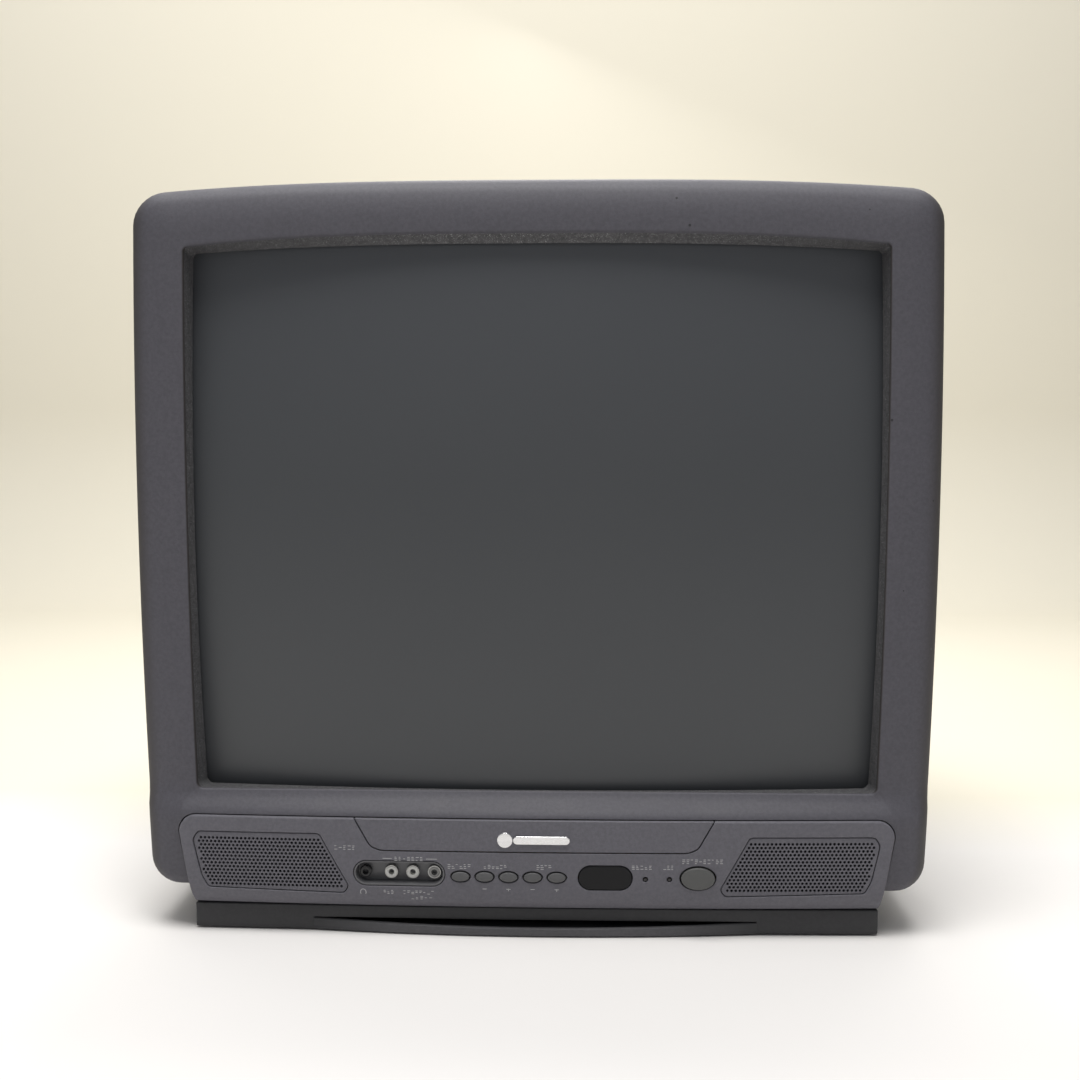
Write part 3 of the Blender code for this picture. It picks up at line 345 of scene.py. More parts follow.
# Quads between neighbouring rings that all have count points, with one face over each open end
def ringFaces(rings, count, capFirst=True, capLast=True, start=0):
    i, j = np.meshgrid(np.arange(rings - 1), np.arange(count), indexing="ij")
    a = i * count + j
    b = i * count + (j + 1) % count
    faces = (np.stack([a, a + count, b + count, b], -1).reshape(-1, 4) + start).tolist()
    if capFirst:
        faces.append((np.arange(count) + start).tolist())
    if capLast:
        faces.append((np.arange(count)[::-1] + (rings - 1) * count + start).tolist())
    return faces


# A skin over rings of points, which run anticlockwise as seen from the front and follow each other backwards
def loft(name, rings, capFirst=True, capLast=True):
    rings = np.asarray(rings, float)
    return newMesh(name, rings.reshape(-1, 3), ringFaces(rings.shape[0], rings.shape[1], capFirst, capLast))


# Gives a loop of (x, z) its depth, a number or one value for each point
def deep(loop, back):
    return np.stack([loop[:, 0], np.broadcast_to(np.asarray(back, float), len(loop)), loop[:, 1]], -1)


def ellipse(x, z, halfW, halfH, count=48):
    angle = np.arange(count) * math.tau / count
    return np.stack([x + halfW * np.cos(angle), z + halfH * np.sin(angle)], -1)


# A slot with round ends: a circle whose two halves stand apart
def stadium(x, z, halfW, halfH, count=48):
    angle = (np.arange(count) + 0.5) * math.tau / count
    apart = np.sign(np.cos(angle)) * (halfW - halfH)
    return np.stack([x + apart + halfH * np.cos(angle), z + halfH * np.sin(angle)], -1)


# A rectangle with round corners, from the bottom's left end: four arcs, each joined to the next by a straight
# run
def rounded(halfW, low, high, radiusLow, radiusHigh, across=72, along=60, corner=8):
    turn = np.radians(np.linspace(0, 90, corner + 1))
    ends = [(-1, low + radiusLow, radiusLow, 180), (1, low + radiusLow, radiusLow, 270),
            (1, high - radiusHigh, radiusHigh, 0), (-1, high - radiusHigh, radiusHigh, 90)]
    arcs = []
    for side, z, radius, start in ends:
        angle = turn + math.radians(start)
        x = side * (halfW - radius) + radius * np.cos(angle)
        arcs.append(np.stack([x, z + radius * np.sin(angle)], -1))
    made = []
    for n, arc in enumerate(arcs):
        following = arcs[(n + 1) % 4][0]
        share = np.linspace(0, 1, across if n % 2 == 0 else along, endpoint=False)[1:, None]
        made += [arc, arc[-1] + (following - arc[-1]) * share]
    return np.concatenate(made)


# The cabinet's own curves: the sides bow out at their widest height, and the top falls by arch at the corners,
# as the cube of the distance from the middle
def bowed(loop, arch):
    x, z = loop[:, 0], loop[:, 1]
    width = 1 - cabinet["bow"] * (z - cabinet["widestZ"]) ** 2
    high = np.clip((z - cabinet["widestZ"]) / (cabinet["top"] - cabinet["widestZ"]), 0, 1)
    return np.stack([x * width, z - arch * (np.abs(x) / cabinet["half"]) ** 3 * high], -1)


# A polygon of (x, z) with each corner turned into a curve that touches both of its edges at radius from it. The
# radius is one number, or one for each corner
def softened(points, radius, steps=7):
    points = np.asarray(points, float)
    radius = np.broadcast_to(radius, len(points))[:, None]
    before = np.roll(points, 1, 0) - points
    after = np.roll(points, -1, 0) - points
    start = points + before / np.linalg.norm(before, axis=1, keepdims=True) * radius
    end = points + after / np.linalg.norm(after, axis=1, keepdims=True) * radius
    share = np.linspace(0, 1, steps)[None, :, None]
    curve = (1 - share) ** 2 * start[:, None] + 2 * share * (1 - share) * points[:, None]
    return (curve + share ** 2 * end[:, None]).reshape(-1, 2)


# The same closed line with its points evenly spaced
def evenly(loop, count):
    closed = np.vstack([loop, loop[:1]])
    along = np.concatenate([[0], np.cumsum(np.linalg.norm(np.diff(closed, axis=0), axis=1))])
    places = np.linspace(0, along[-1], count, endpoint=False)
    return np.stack([np.interp(places, along, closed[:, k]) for k in (0, 1)], -1)


# A closed anticlockwise line moved outwards along the mean of its two edges' normals
def grown(loop, amount):
    normals = []
    for edge in (loop - np.roll(loop, 1, 0), np.roll(loop, -1, 0) - loop):
        normal = np.stack([edge[:, 1], -edge[:, 0]], -1)
        normals.append(normal / np.maximum(np.linalg.norm(normal, axis=1, keepdims=True), 1e-9))
    mean = normals[0] + normals[1]
    mean /= np.linalg.norm(mean, axis=1, keepdims=True)
    spread = np.maximum(0.45, np.sum(mean * normals[0], axis=1, keepdims=True))
    return loop + mean * amount / spread


# The same outline on the other side of the set, still anticlockwise
def mirrored(loop):
    return (np.asarray(loop, float) * (-1, 1))[::-1]


# Bars along the depth, one for each closed anticlockwise loop, as one mesh for cutting
def bars(loops, first, last):
    points, faces, start = [], [], 0
    for loop in loops:
        points += [deep(loop, first), deep(loop, last)]
        faces += ringFaces(2, len(loop), start=start)
        start += 2 * len(loop)
    return newMesh("bars", np.concatenate(points), faces)


# Boxes between rows of low and high corners (x, back, z), as one mesh
def boxes(name, lows, highs):
    lows = np.atleast_2d(np.asarray(lows, float))
    highs = np.atleast_2d(np.asarray(highs, float))
    corner = np.array([(x, y, z) for z in (0, 1) for x, y in ((0, 0), (1, 0), (1, 1), (0, 1))])
    sides = np.array([(0, 3, 2, 1), (4, 5, 6, 7), (0, 1, 5, 4), (1, 2, 6, 5), (2, 3, 7, 6), (3, 0, 4, 7)])
    points = lows[:, None] + corner * (highs - lows)[:, None]
    faces = sides + np.arange(len(lows))[:, None, None] * 8
    return newMesh(name, points.reshape(-1, 3), faces.reshape(-1, 4))


# Applies the piece's modifiers and cuts it with each cutter, or keeps what is inside it. A piece whose own
# walls cross in a tight corner is tangled
def cut(piece, *cutters, operation="DIFFERENCE", tangled=False):
    for cutter in cutters:
        modifier = piece.modifiers.new("cut", "BOOLEAN")
        modifier.object = cutter
        modifier.operation = operation
        modifier.solver = "EXACT"
        modifier.use_self = tangled
    bpy.context.view_layer.update()
    made = bpy.data.meshes.new_from_object(piece.evaluated_get(bpy.context.evaluated_depsgraph_get()))
    piece.modifiers.clear()
    piece.data = made
    for cutter in cutters:
        bpy.data.objects.remove(cutter)
    return piece


def thicken(piece, wall):
    modifier = piece.modifiers.new("wall", "SOLIDIFY")
    modifier.thickness = wall * mm
    modifier.offset = -1.0
    modifier.use_even_offset = True
    return piece


# How deep a base lies at each point of a loop
def depthOf(loop, base):
    return base(loop[:, 0], loop[:, 1]) if callable(base) else base


# A rounded button over a closed loop. Rings shrink to the loop's middle, where the face is crowned by dome
# times one less the share squared, and each row of (inset, depth) carries the loop round its edge and back. The
# base is a depth, or a function of x and z
def button(name, loop, rows, base=0.0, dome=0.0):
    middle = loop.mean(0)
    inner = grown(loop, -rows[0][0])
    rings = []
    for share in (0.02, 0.25, 0.5, 0.75, 0.9):
        ring = middle + (inner - middle) * share
        rings.append(deep(ring, depthOf(ring, base) + rows[0][1] - dome * (1 - share ** 2)))
    for inset, depth in rows:
        ring = grown(loop, -inset)
        rings.append(deep(ring, depthOf(ring, base) + depth))
    return loft(name, rings)


# Rows of (inset, depth) for a quarter round: the inset falls as 1 - sin, the depth grows as 1 - cos
def roundEdge(radius, start=0.0, steps=5):
    angle = np.linspace(0, math.pi / 2, steps)
    return [(radius * (1 - math.sin(a)), start + radius * (1 - math.cos(a))) for a in angle]


# A turned shape on an oval: rows of (share of the half sizes, back)
def turned(name, x, z, halfW, halfH, rows, count=40):
    rings = [deep(ellipse(x, z, halfW * share, halfH * share, count), back) for share, back in rows]
    return loft(name, rings)


# How far behind the lip's plane the picture tube's face lies: a sphere of the tube's radius
def glassBack(x, z):
    return tube["centreBack"] + (x ** 2 + (z - tube["z"]) ** 2) / (2 * tube["radius"])


# How far the frame's face comes forward under the screen, eased in from the opening's foot to the panel's top
# as the square of the share times three less twice the share
def sillForward(x, z):
    share = np.clip((opening["low"] - z) / (opening["low"] - panel["top"]), 0, 1)
    middle = np.clip(1 - (x / tube["halfX"]) ** 2, 0, 1)
    return (panel["sill"] + panel["bulge"] * middle) * share ** 2 * (3 - 2 * share)


# The control panel's front: bulged across as 1 - x squared, and curling under at its foot, as the square and
# the eighth power of the way down
def panelBack(x, z):
    middle = np.clip(1 - (x / tube["halfX"]) ** 2, 0, 1)
    below = np.clip((panel["curlFrom"] - z) / (panel["curlFrom"] - panel["curlTo"]), 0, None)
    flat = panel["edgeBack"] - panel["bulge"] * middle
    return flat + panel["curl"] * below ** 2 + panel["tuck"] * below ** 8


# Half the panel's width, which grows with z until the upper corners start
def panelHalf(z):
    return panel["half"] + panel["widen"] * (np.minimum(z, panel["top"] - panel["corner"]) - panel["curlTo"])


# The picture tube's face: rounded rectangles that grow from the middle, then the edge and the skirt
glass = {"flat": 0.985, "rings": 26, "first": 0.02, "edge": 3.5, "edgeRings": 5, "wall": 9.0}


# The tube's outline at a share of its full size
def tubeOutline(share):
    high = tube["halfZ"] * share
    radius = tube["corner"] * share
    return rounded(tube["halfX"] * share, tube["z"] - high, tube["z"] + high, radius, radius, 40, 32)


rings = []
for share in np.sin(np.linspace(glass["first"], 1, glass["rings"]) * math.pi / 2) * glass["flat"]:
    loop = tubeOutline(share)
    rings.append(deep(loop, glassBack(*loop.T)))
whole = tubeOutline(1.0)
edgeBack = glassBack(*whole.T)
for angle in np.linspace(0.35, 1, glass["edgeRings"]) * math.pi / 2:
    share = glass["flat"] + (1 - glass["flat"]) * math.sin(angle)
    loop = whole * share + np.array((0, tube["z"])) * (1 - share)
    rings.append(deep(loop, edgeBack + glass["edge"] * (1 - math.cos(angle))))
rings.append(deep(whole, skirtBack))
screen = thicken(loft("screenGlass", rings, capLast=False), glass["wall"])
settle(cut(screen), "screen_glass", replaces=["crt_faceplate"], smooth=50)

# The moulded frame round the screen: the reveal, a rounded lip, a face that falls back towards its edge as a
# power of the way across it, a quarter turn, and straight sides
bezel = {"glassClear": 2.4, "lipRound": 1.2, "faceFall": 3.0, "fallPower": 2.9, "faceRows": 26, "turnRows": 11,
         "sideRows": 5, "startTurn": 0.33, "revealRows": 7, "revealEnd": 0.92, "revealWall": 1.2,
         "postX": 231, "postZ": (75, 441), "postRadius": 6}
glassEdge = bowed(rounded(opening["half"] - 1.7, opening["low"] - 0.9, opening["high"] - 5.7, 4, 3), 9)
lip = bowed(rounded(opening["half"], opening["low"], opening["high"], 4, 3), opening["arch"])
rim = bowed(rounded(opening["half"] + bezel["lipRound"], opening["low"] - bezel["lipRound"],
                    opening["high"] + bezel["lipRound"], 5, 4), opening["arch"])


# The cabinet's outline moved in by some millimetres
def outline(inset):
    radius = cabinet["corner"] - inset
    low, high = cabinet["low"] + inset, cabinet["top"] - inset
    return bowed(rounded(cabinet["half"] - inset, low, high, radius, radius), cabinet["arch"])


revealRings = []
deepest = deep(glassEdge, glassBack(glassEdge[:, 0], glassEdge[:, 1]) - bezel["glassClear"])
foremost = deep(lip, bezel["lipRound"])
for share in np.linspace(0, bezel["revealEnd"], bezel["revealRows"]):
    revealRings.append(deepest + (foremost - deepest) * share)
reveal = thicken(loft("screenReveal", revealRings, False, False), bezel["revealWall"])
settle(cut(reveal), "reveal")

rings = [revealRings[-1]]
for angle in np.linspace(0, 1, 6) * math.pi / 2:
    share = 1 - math.cos(angle)
    loop = lip + (rim - lip) * share
    rings.append(deep(loop, bezel["lipRound"] * (1 - math.sin(angle)) - sillForward(*loop.T) * share))
faceEdge = outline(cabinet["edgeRound"])
for share in np.linspace(0, 1, bezel["faceRows"] + 1)[1:]:
    loop = rim + (faceEdge - rim) * share
    rings.append(deep(loop, bezel["faceFall"] * share ** bezel["fallPower"] - sillForward(*loop.T)))
turnRadius = cabinet["edgeRound"] / (1 - math.sin(bezel["startTurn"]))
for share in np.linspace(0, 1, bezel["turnRows"] + 1)[1:]:
    angle = bezel["startTurn"] + (math.pi / 2 - bezel["startTurn"]) * share
    loop = outline(turnRadius * (1 - math.sin(angle)))
    fall = bezel["faceFall"] + turnRadius * (math.cos(bezel["startTurn"]) - math.cos(angle))
    rings.append(deep(loop, fall - sillForward(*loop.T) * (1 - share ** 2)))
for back in np.linspace(fall, cabinet["back"], bezel["sideRows"] + 1)[1:]:
    rings.append(deep(outline(0.0), back))
frontBezel = thicken(loft("frontBezel", rings, False, False), cabinet["wall"])


# The control panel's own outline, grown by some millimetres: straight sides with round upper corners
def panelOutline(amount, low):
    corner = panel["corner"]
    angle = np.radians(np.linspace(0, 90, 19))
    x = panelHalf(panel["top"]) - corner + (corner + amount) * np.cos(angle)
    z = panel["top"] - corner + (corner + amount) * np.sin(angle)
    right = np.stack([np.append(panelHalf(low) + amount, x), np.append(low, z)], -1)
    return np.vstack([right, right[::-1] * (-1, 1)])


cut(frontBezel, bars([panelOutline(0.7, panel["low"] - 12)], -40, 3))
settle(frontBezel, "cabinet", replaces=["front_frame"], smooth=40)
posts = bars([ellipse(x, z, bezel["postRadius"], bezel["postRadius"], 24)
              for x in (-bezel["postX"], bezel["postX"]) for z in bezel["postZ"]], 3.5, 62)
posts.name = "framePosts"
settle(posts, "cabinet")
print("screen and front frame made")


# The control panel's face as a grid, row by row from its foot to its top, each row as wide as the panel is
# there. Round the upper corners the width shrinks as the square root of one less the square of the way up them
panelGrid = {"columns": 281, "round": 1.3, "lowRows": 44, "topRows": 14}
edgeZ = panel["top"] - panel["corner"]
turn = panel["corner"] - panelGrid["round"]
lowZ = np.linspace(panel["low"] + panelGrid["round"], edgeZ, panelGrid["lowRows"])[:-1]
rowZ = np.concatenate([lowZ, edgeZ + turn * np.sin(np.linspace(0, math.pi / 2, panelGrid["topRows"]))])
cornerWay = np.clip((rowZ - edgeZ) / turn, 0, 1)
halfAt = panelHalf(rowZ) - panel["corner"] + turn * np.sqrt(1 - cornerWay ** 2)
share = np.linspace(-1, 1, panelGrid["columns"])
gridX = halfAt[:, None] * share
gridZ = np.broadcast_to(rowZ[:, None], gridX.shape)
face = np.stack([gridX, panelBack(gridX, gridZ), gridZ], -1)
rows, columns = face.shape[:2]
i, j = np.meshgrid(np.arange(rows - 1), np.arange(columns - 1), indexing="ij")
corner = i * columns + j
faces = np.stack([corner, corner + 1, corner + columns + 1, corner + columns], -1).reshape(-1, 4).tolist()
index = np.arange(rows * columns).reshape(rows, columns)
border = np.concatenate([index[0, :-1], index[:-1, -1], index[-1, :0:-1], index[:0:-1, 0]])
borderLoop = face.reshape(-1, 3)[border][:, [0, 2]]
points = [face.reshape(-1, 3)]
previous, start = border, rows * columns
for inset, depth in roundEdge(panelGrid["round"])[1:] + [(0.0, panel["skirt"])]:
    loop = grown(borderLoop, panelGrid["round"] - inset)
    points.append(deep(loop, panelBack(*loop.T) + depth))
    following = start + np.arange(len(loop))
    faces += np.stack([previous, following, np.roll(following, -1), np.roll(previous, -1)], -1).tolist()
    previous, start = following, start + len(loop)
controlPanel = newMesh("controlPanel", np.concatenate(points), faces)
thicken(controlPanel, panel["wall"])

keys = {"input_key": -45.1, "channel_down_key": -30.2, "channel_up_key": -15.4, "volume_down_key": -0.5,
        "volume_up_key": 14.4}
keyHole = (6.3, 3.8)
keyCap = (5.5, 3.0)
power = {"x": 101.3, "hole": (11.3, 7.8), "cap": (10.4, 6.9)}
lamps = {"standby_lamp": 83.8, "timer_lamp": 69.0}
lampZ = 38.8
lampRadius = 1.3
seam = 0.35
bay = {"x": -83.3, "z": 40.8, "halfW": 28.4, "halfH": 8.0, "floor": 9.0, "wall": 1.2}
eye = {"x": 44.3, "z": 39.5, "halfW": 16.6, "halfH": 7.8}
grilleCorners = [(118, 27), (204.5, 29), (208.5, 37), (213.5, 60), (210, 65.5), (133, 65.5), (114.8, 32)]
logoCorners = [(-95, 55), (95, 55), (101.5, 57.6), (113, 78), (-113, 78), (-101.5, 57.6)]
insertCorners = [(-95, 55), (95, 55), (101.5, 57.6), (111.9, 76.1), (-111.9, 76.1), (-101.5, 57.6)]
grilleLoop = evenly(softened(grilleCorners, 2.2), 240)
logoLoop = evenly(softened(logoCorners, 2.6), 320)
insertLoop = evenly(softened(insertCorners, (2.6, 2.6, 2.6, 1.0, 1.0, 2.6)), 320)


# The rings of a bar that meets the panel's face along a loop. In front of the face it is wider than the loop by
# flare, or narrower where flare is below zero, and its two ends are flat
def barRings(loop, flare, behind=0.0, lead=0.6, first=-30, last=14):
    depth = panelBack(*loop.T) + behind
    wide = grown(loop, flare + math.copysign(lead, flare))
    return [deep(wide, first), deep(wide, depth - lead), deep(loop, depth + abs(flare)), deep(loop, last)]


# Bars for cutting holes in the panel whose front edges are broken by the flare
def flaredBars(loops, flare):
    points, faces, start = [], [], 0
    for loop in loops:
        points += barRings(loop, flare)
        faces += ringFaces(4, len(loop), start=start)
        start += 4 * len(loop)
    return newMesh("bars", np.concatenate(points), faces)


holes = [ellipse(x, controlZ, *keyHole) for x in keys.values()]
holes += [ellipse(power["x"], controlZ, *power["hole"], 64)]
holes += [ellipse(x, lampZ, lampRadius + 0.4, lampRadius + 0.4, 24) for x in lamps.values()]
for window in (bay, eye):
    holes.append(stadium(window["x"], window["z"], window["halfW"] + seam, window["halfH"] + seam, 64))
cut(controlPanel, flaredBars(holes, seam), flaredBars([grilleLoop, mirrored(grilleLoop)], 0.5))
cut(controlPanel, flaredBars([logoLoop], seam), tangled=True)
settle(controlPanel, "panel", replaces=["control_panel"], smooth=30)


# A sheet that follows the panel's face between two x and two z, some millimetres behind it
def panelSheet(name, lowX, highX, lowZ, highZ, behind, step=1.6):
    x = np.linspace(lowX, highX, max(3, int((highX - lowX) / step)))
    z = np.linspace(lowZ, highZ, max(3, int((highZ - lowZ) / step)))
    sheetX, sheetZ = np.meshgrid(x, z)
    points = np.stack([sheetX, panelBack(sheetX, sheetZ) + behind, sheetZ], -1)
    i, j = np.meshgrid(np.arange(len(z) - 1), np.arange(len(x) - 1), indexing="ij")
    low = i * len(x) + j
    faces = np.stack([low, low + 1, low + len(x) + 1, low + len(x)], -1).reshape(-1, 4)
    return newMesh(name, points.reshape(-1, 3), faces)


logoPanel = thicken(panelSheet("logoPanel", -116, 116, 50, 80, 0.0), 2.2)
cut(logoPanel, loft("bar", barRings(grown(insertLoop, -0.6), -0.5)), operation="INTERSECT", tangled=True)
settle(logoPanel, "panel", replaces=["logo_panel"])

# The badge: a disc and a bar, both plain, with broken edges
badge = {"z": 63.3, "barX": 5.0, "barHalf": 17.5, "barRadius": 2.6, "discX": -17.5, "discRadius": 4.8,
         "proud": 1.2, "dome": 0.15}
badgeBack = float(panelBack(0.0, 63.0)) - badge["proud"]
edge = roundEdge(0.45) + [(0.0, badge["proud"])]
loop = stadium(badge["barX"], badge["z"], badge["barHalf"], badge["barRadius"], 64)
settle(button("badge", loop, edge, badgeBack), "badge", replaces=["badge"])
loop = ellipse(badge["discX"], badge["z"], badge["discRadius"], badge["discRadius"], 64)
settle(button("badgeDisc", loop, edge, badgeBack + badge["dome"], badge["dome"]), "badge")

# The speaker grilles: a plate set into the panel with rows of round holes, each row half a pitch along from the
# one below, kept where they are inside the outline. The left one is the right one mirrored
grille = {"pitch": 2.56, "row": 2.28, "hole": 0.9, "margin": 2.3, "sides": 8, "behind": 0.6, "wall": 1.6,
          "clothBehind": 2.9, "clothWall": 0.4}


# Which points lie inside an anticlockwise convex loop by at least a margin
def inside(points, loop, margin):
    along = np.roll(loop, -1, 0) - loop
    along /= np.maximum(np.linalg.norm(along, axis=1, keepdims=True), 1e-9)
    away = points[:, None] - loop
    return (along[:, 0] * away[..., 1] - along[:, 1] * away[..., 0]).min(1) > margin


across, upward = np.meshgrid(np.arange(48), np.arange(20))
centres = np.stack([112 + (across + 0.5 * (upward % 2)) * grille["pitch"], 27 + upward * grille["row"]], -1)
centres = centres.reshape(-1, 2)
centres = centres[inside(centres, np.asarray(grilleCorners, float), grille["margin"])]
plate = thicken(panelSheet("rightGrille", 112, 217, 24, 68, grille["behind"], 2.2), grille["wall"])
cut(plate, loft("bar", barRings(grown(grilleLoop, -0.4), -0.35, grille["behind"])), operation="INTERSECT")
punches = [ellipse(x, z, grille["hole"], grille["hole"], grille["sides"]) for x, z in centres]
cut(plate, bars(punches, -20, 12))
twin = bpy.data.objects.new("leftGrille", plate.data.copy())
scene.collection.objects.link(twin)
twin.data.transform(Matrix.Diagonal((-1, 1, 1, 1)))
twin.data.flip_normals()
settle(plate, "panel", replaces=["right_grille"])
settle(twin, "panel", replaces=["left_grille"])
for side, lowX, highX in (("right", 113, 216), ("left", -216, -113)):
    cloth = panelSheet(side + "SpeakerCloth", lowX, highX, 25.5, 67.5, grille["clothBehind"], 4.0)
    settle(cut(thicken(cloth, grille["clothWall"])), "cloth")
print("panel and grilles made:", len(centres), "holes a side")

# The keys and the power button, each on its own body
edge = roundEdge(0.7)
for name, x in [*keys.items(), ("power_button", power["x"])]:
    isPower = name == "power_button"
    cap, proud, dome = (power["cap"], 1.6, 0.35) if isPower else (keyCap, 0.9, 0.3)
    front = float(panelBack(x, controlZ)) - proud
    made = button(name + "Cap", ellipse(x, controlZ, *cap, 64), edge + [(0.0, 8.0)], front, dome)
    settle(made, "powerKey" if isPower else "key", body=name, replaces=[name])

# The jack bay: its floor, the wall up to the rim, the rim, and the outside
loop = stadium(bay["x"], bay["z"], bay["halfW"], bay["halfH"], 72)
innerLoop = grown(loop, -bay["wall"])
rings = []
for share in (0.02, 0.4, 0.8):
    ring = innerLoop.mean(0) + (innerLoop - innerLoop.mean(0)) * share
    rings.append(deep(ring, panelBack(*ring.T) + bay["floor"]))
for growth, depth in ((-1.7, bay["floor"]), (-1.3, bay["floor"] - 0.2), (-1.2, bay["floor"] - 0.8), (-1.2, 1.0),
                      (-1.0, 0.55), (-0.6, 0.4), (-0.2, 0.55), (0.0, 0.9), (0.0, 10.4)):
    ring = grown(loop, growth)
    rings.append(deep(ring, panelBack(*ring.T) + depth))
settle(loft("jackBay", rings), "bayBlack", replaces=["jack_bay"])

jackFloor = float(panelBack(bay["x"], bay["z"])) + bay["floor"]
jackZ = controlZ + 0.4
jackRows = {"ring": [(0.02, 1.5), (1.75, 1.5), (1.75, -3.2), (1.95, -3.45), (3.25, -3.45), (3.4, -3.2),
                     (3.4, 2.0)],
            "shell": [(3.4, 1.0), (3.4, -2.9), (3.5, -3.1), (4.0, -3.1), (4.15, -2.8), (4.15, 2.0)],
            "headphone": [(0.02, 2.5), (1.8, 2.5), (1.8, -3.3), (1.95, -3.5), (2.7, -3.5), (2.8, -3.2),
                          (3.2, -3.2), (3.6, -2.9), (3.6, 2.0)]}


# A part of a jack, from rows of (radius, how far behind the bay's floor)
def jackPart(name, x, kind):
    return turned(name, x, jackZ, 1, 1, [(radius, jackFloor + depth) for radius, depth in jackRows[kind]])


# Each phono jack: a bore, the insulating ring round it, and a plated shell. The headphone jack is one black
# socket
for name, x, ring in (("video_jack", -88.9, "jack_white"), ("audio_left_jack", -75.5, "jack_white"),
                      ("audio_right_jack", -62.0, "jackGrey")):
    settle(jackPart(name + "Ring", x, "ring"), ring, replaces=[name])
    settle(jackPart(name + "Shell", x, "shell"), "steel")
settle(jackPart("headphoneSocket", -105.0, "headphone"), "black_plastic", replaces=["headphone_jack"])


# The window's face lies a tenth of a millimetre behind the panel's
def windowBack(x, z):
    return panelBack(x, z) + 0.1


# The remote control's window, and the two lamps
loop = stadium(eye["x"], eye["z"], eye["halfW"], eye["halfH"], 72)
made = button("remoteWindow", loop, roundEdge(0.8) + [(0.0, 2.4)], windowBack)
settle(made, "window", replaces=["remote_window"])
edge = roundEdge(0.4, steps=4) + [(0, 9)]
for name, x in lamps.items():
    front = float(panelBack(x, lampZ)) + 0.5
    loop = ellipse(x, lampZ, lampRadius, lampRadius, 24)
    settle(button(name + "Lens", loop, edge, front, 0.3), "lamp_lens", replaces=[name])

# Printed marks, a twentieth of a millimetre proud: rows of dashes, signs under the keys, and two lines over the
# jacks. Each row of dashes is low x, high x, z and how tall it is
marks = {"proud": 0.05, "thick": 0.25,
         "dashes": [(-123.5, -109.5, 56.9, 2.2), (-86.0, -67.5, 50.4, 2.0), (-53.0, -38.0, 46.1, 2.4),
                    (-30.6, -15.6, 46.1, 2.0), (2.0, 11.8, 46.1, 2.4), (60.6, 76.6, 46.5, 2.0),
                    (80.0, 87.2, 46.5, 2.2), (91.6, 117.4, 50.4, 2.3), (-93.2, -86.2, 28.6, 2.2),
                    (-80.8, -61.0, 28.6, 2.0), (-76.0, -62.0, 24.9, 2.0)],
         "lines": [(-93.4, -87.0, 50.5), (-66.4, -59.6, 50.5)],
         "minus": (-30.2, -0.5), "plus": (-15.4, 14.4), "signZ": 31.7, "signHalf": 1.25, "stroke": 0.42,
         "pitch": 2.6, "wide": 1.9, "half": 0.17, "lineHalf": 0.16, "arcX": -106, "arcZ": 28.2}
draw = np.random.default_rng(7)
lows, highs = [], []
for lowX, highX, z, tall in marks["dashes"]:
    count = int(round((highX - lowX) / marks["pitch"]))
    for x in np.linspace(lowX, highX, count, endpoint=False):
        for level in (0.0, 0.5, 1.0):
            if draw.random() < 0.72:
                dashZ = z + (level - 0.5) * tall
                lows.append((x, dashZ - marks["half"]))
                highs.append((x + marks["wide"] * draw.uniform(0.55, 1.0), dashZ + marks["half"]))
for lowX, highX, z in marks["lines"]:
    lows.append((lowX, z - marks["lineHalf"]))
    highs.append((highX, z + marks["lineHalf"]))
half, stroke = marks["signHalf"], marks["stroke"] / 2
for x in marks["minus"] + marks["plus"]:
    lows.append((x - half, marks["signZ"] - stroke))
    highs.append((x + half, marks["signZ"] + stroke))
for x in marks["plus"]:
    lows.append((x - stroke, marks["signZ"] - half))
    highs.append((x + stroke, marks["signZ"] + half))
lows, highs = np.array(lows), np.array(highs)
lowDepth = panelBack(*((lows + highs) / 2).T) - marks["proud"]
lowCorners = np.stack([lows[:, 0], lowDepth, lows[:, 1]], -1)
highCorners = np.stack([highs[:, 0], lowDepth + marks["thick"], highs[:, 1]], -1)
settle(boxes("printedMarks", lowCorners, highCorners), "print")
arc = np.radians(np.linspace(-35, 215, 25))
arcs = [np.stack([marks["arcX"] + halfW * np.cos(arc), marks["arcZ"] + halfH * np.sin(arc)], -1)
        for halfW, halfH in ((1.95, 2.3), (1.55, 1.9))]
band = np.vstack([arcs[0], arcs[1][::-1]])
depth = panelBack(*band.T)
made = loft("headphoneMark", [deep(band, depth - marks["proud"]), deep(band, depth + 0.2)])
settle(made, "print")
print("controls made")


# Turns the faces of a closed piece outwards
def outward(piece):
    made = bmesh.new()
    made.from_mesh(piece.data)
    bmesh.ops.remove_doubles(made, verts=made.verts, dist=1e-6)
    bmesh.ops.recalc_face_normals(made, faces=made.faces)
    made.to_mesh(piece.data)
    made.free()
    return piece


def soften(piece, width, segments=3, angle=35.0):
    modifier = piece.modifiers.new("edge", "BEVEL")
    modifier.width = width * mm
    modifier.segments = segments
    modifier.limit_method = "ANGLE"
    modifier.angle_limit = math.radians(angle)
    modifier.use_clamp_overlap = True
    return piece


# The plinth under the cabinet, in plan: a bowed front, straight sides and a straight back
plinth = {"half": 214.4, "back": 295.0, "low": 1.2, "top": 24.6, "stepZ": 16.6, "stepBack": 8.0,
          "band": -1.0, "bandBow": 3.0, "wall": 4, "hollowFront": 12, "ceiling": 21, "slotTop": 8.7,
          "slotLow": 3.4, "lipHalf": 143.0, "lipBow": 7.0, "lipDip": 2.6, "lipWall": 2.4,
          "lipStep": 0.6, "lipRound": 1.0}


# The plinth's front, which bows forward as one less the square of the way from its middle
def bandBack(x):
    return plinth["band"] - plinth["bandBow"] * np.clip(1 - (x / plinth["half"]) ** 2, 0, None)


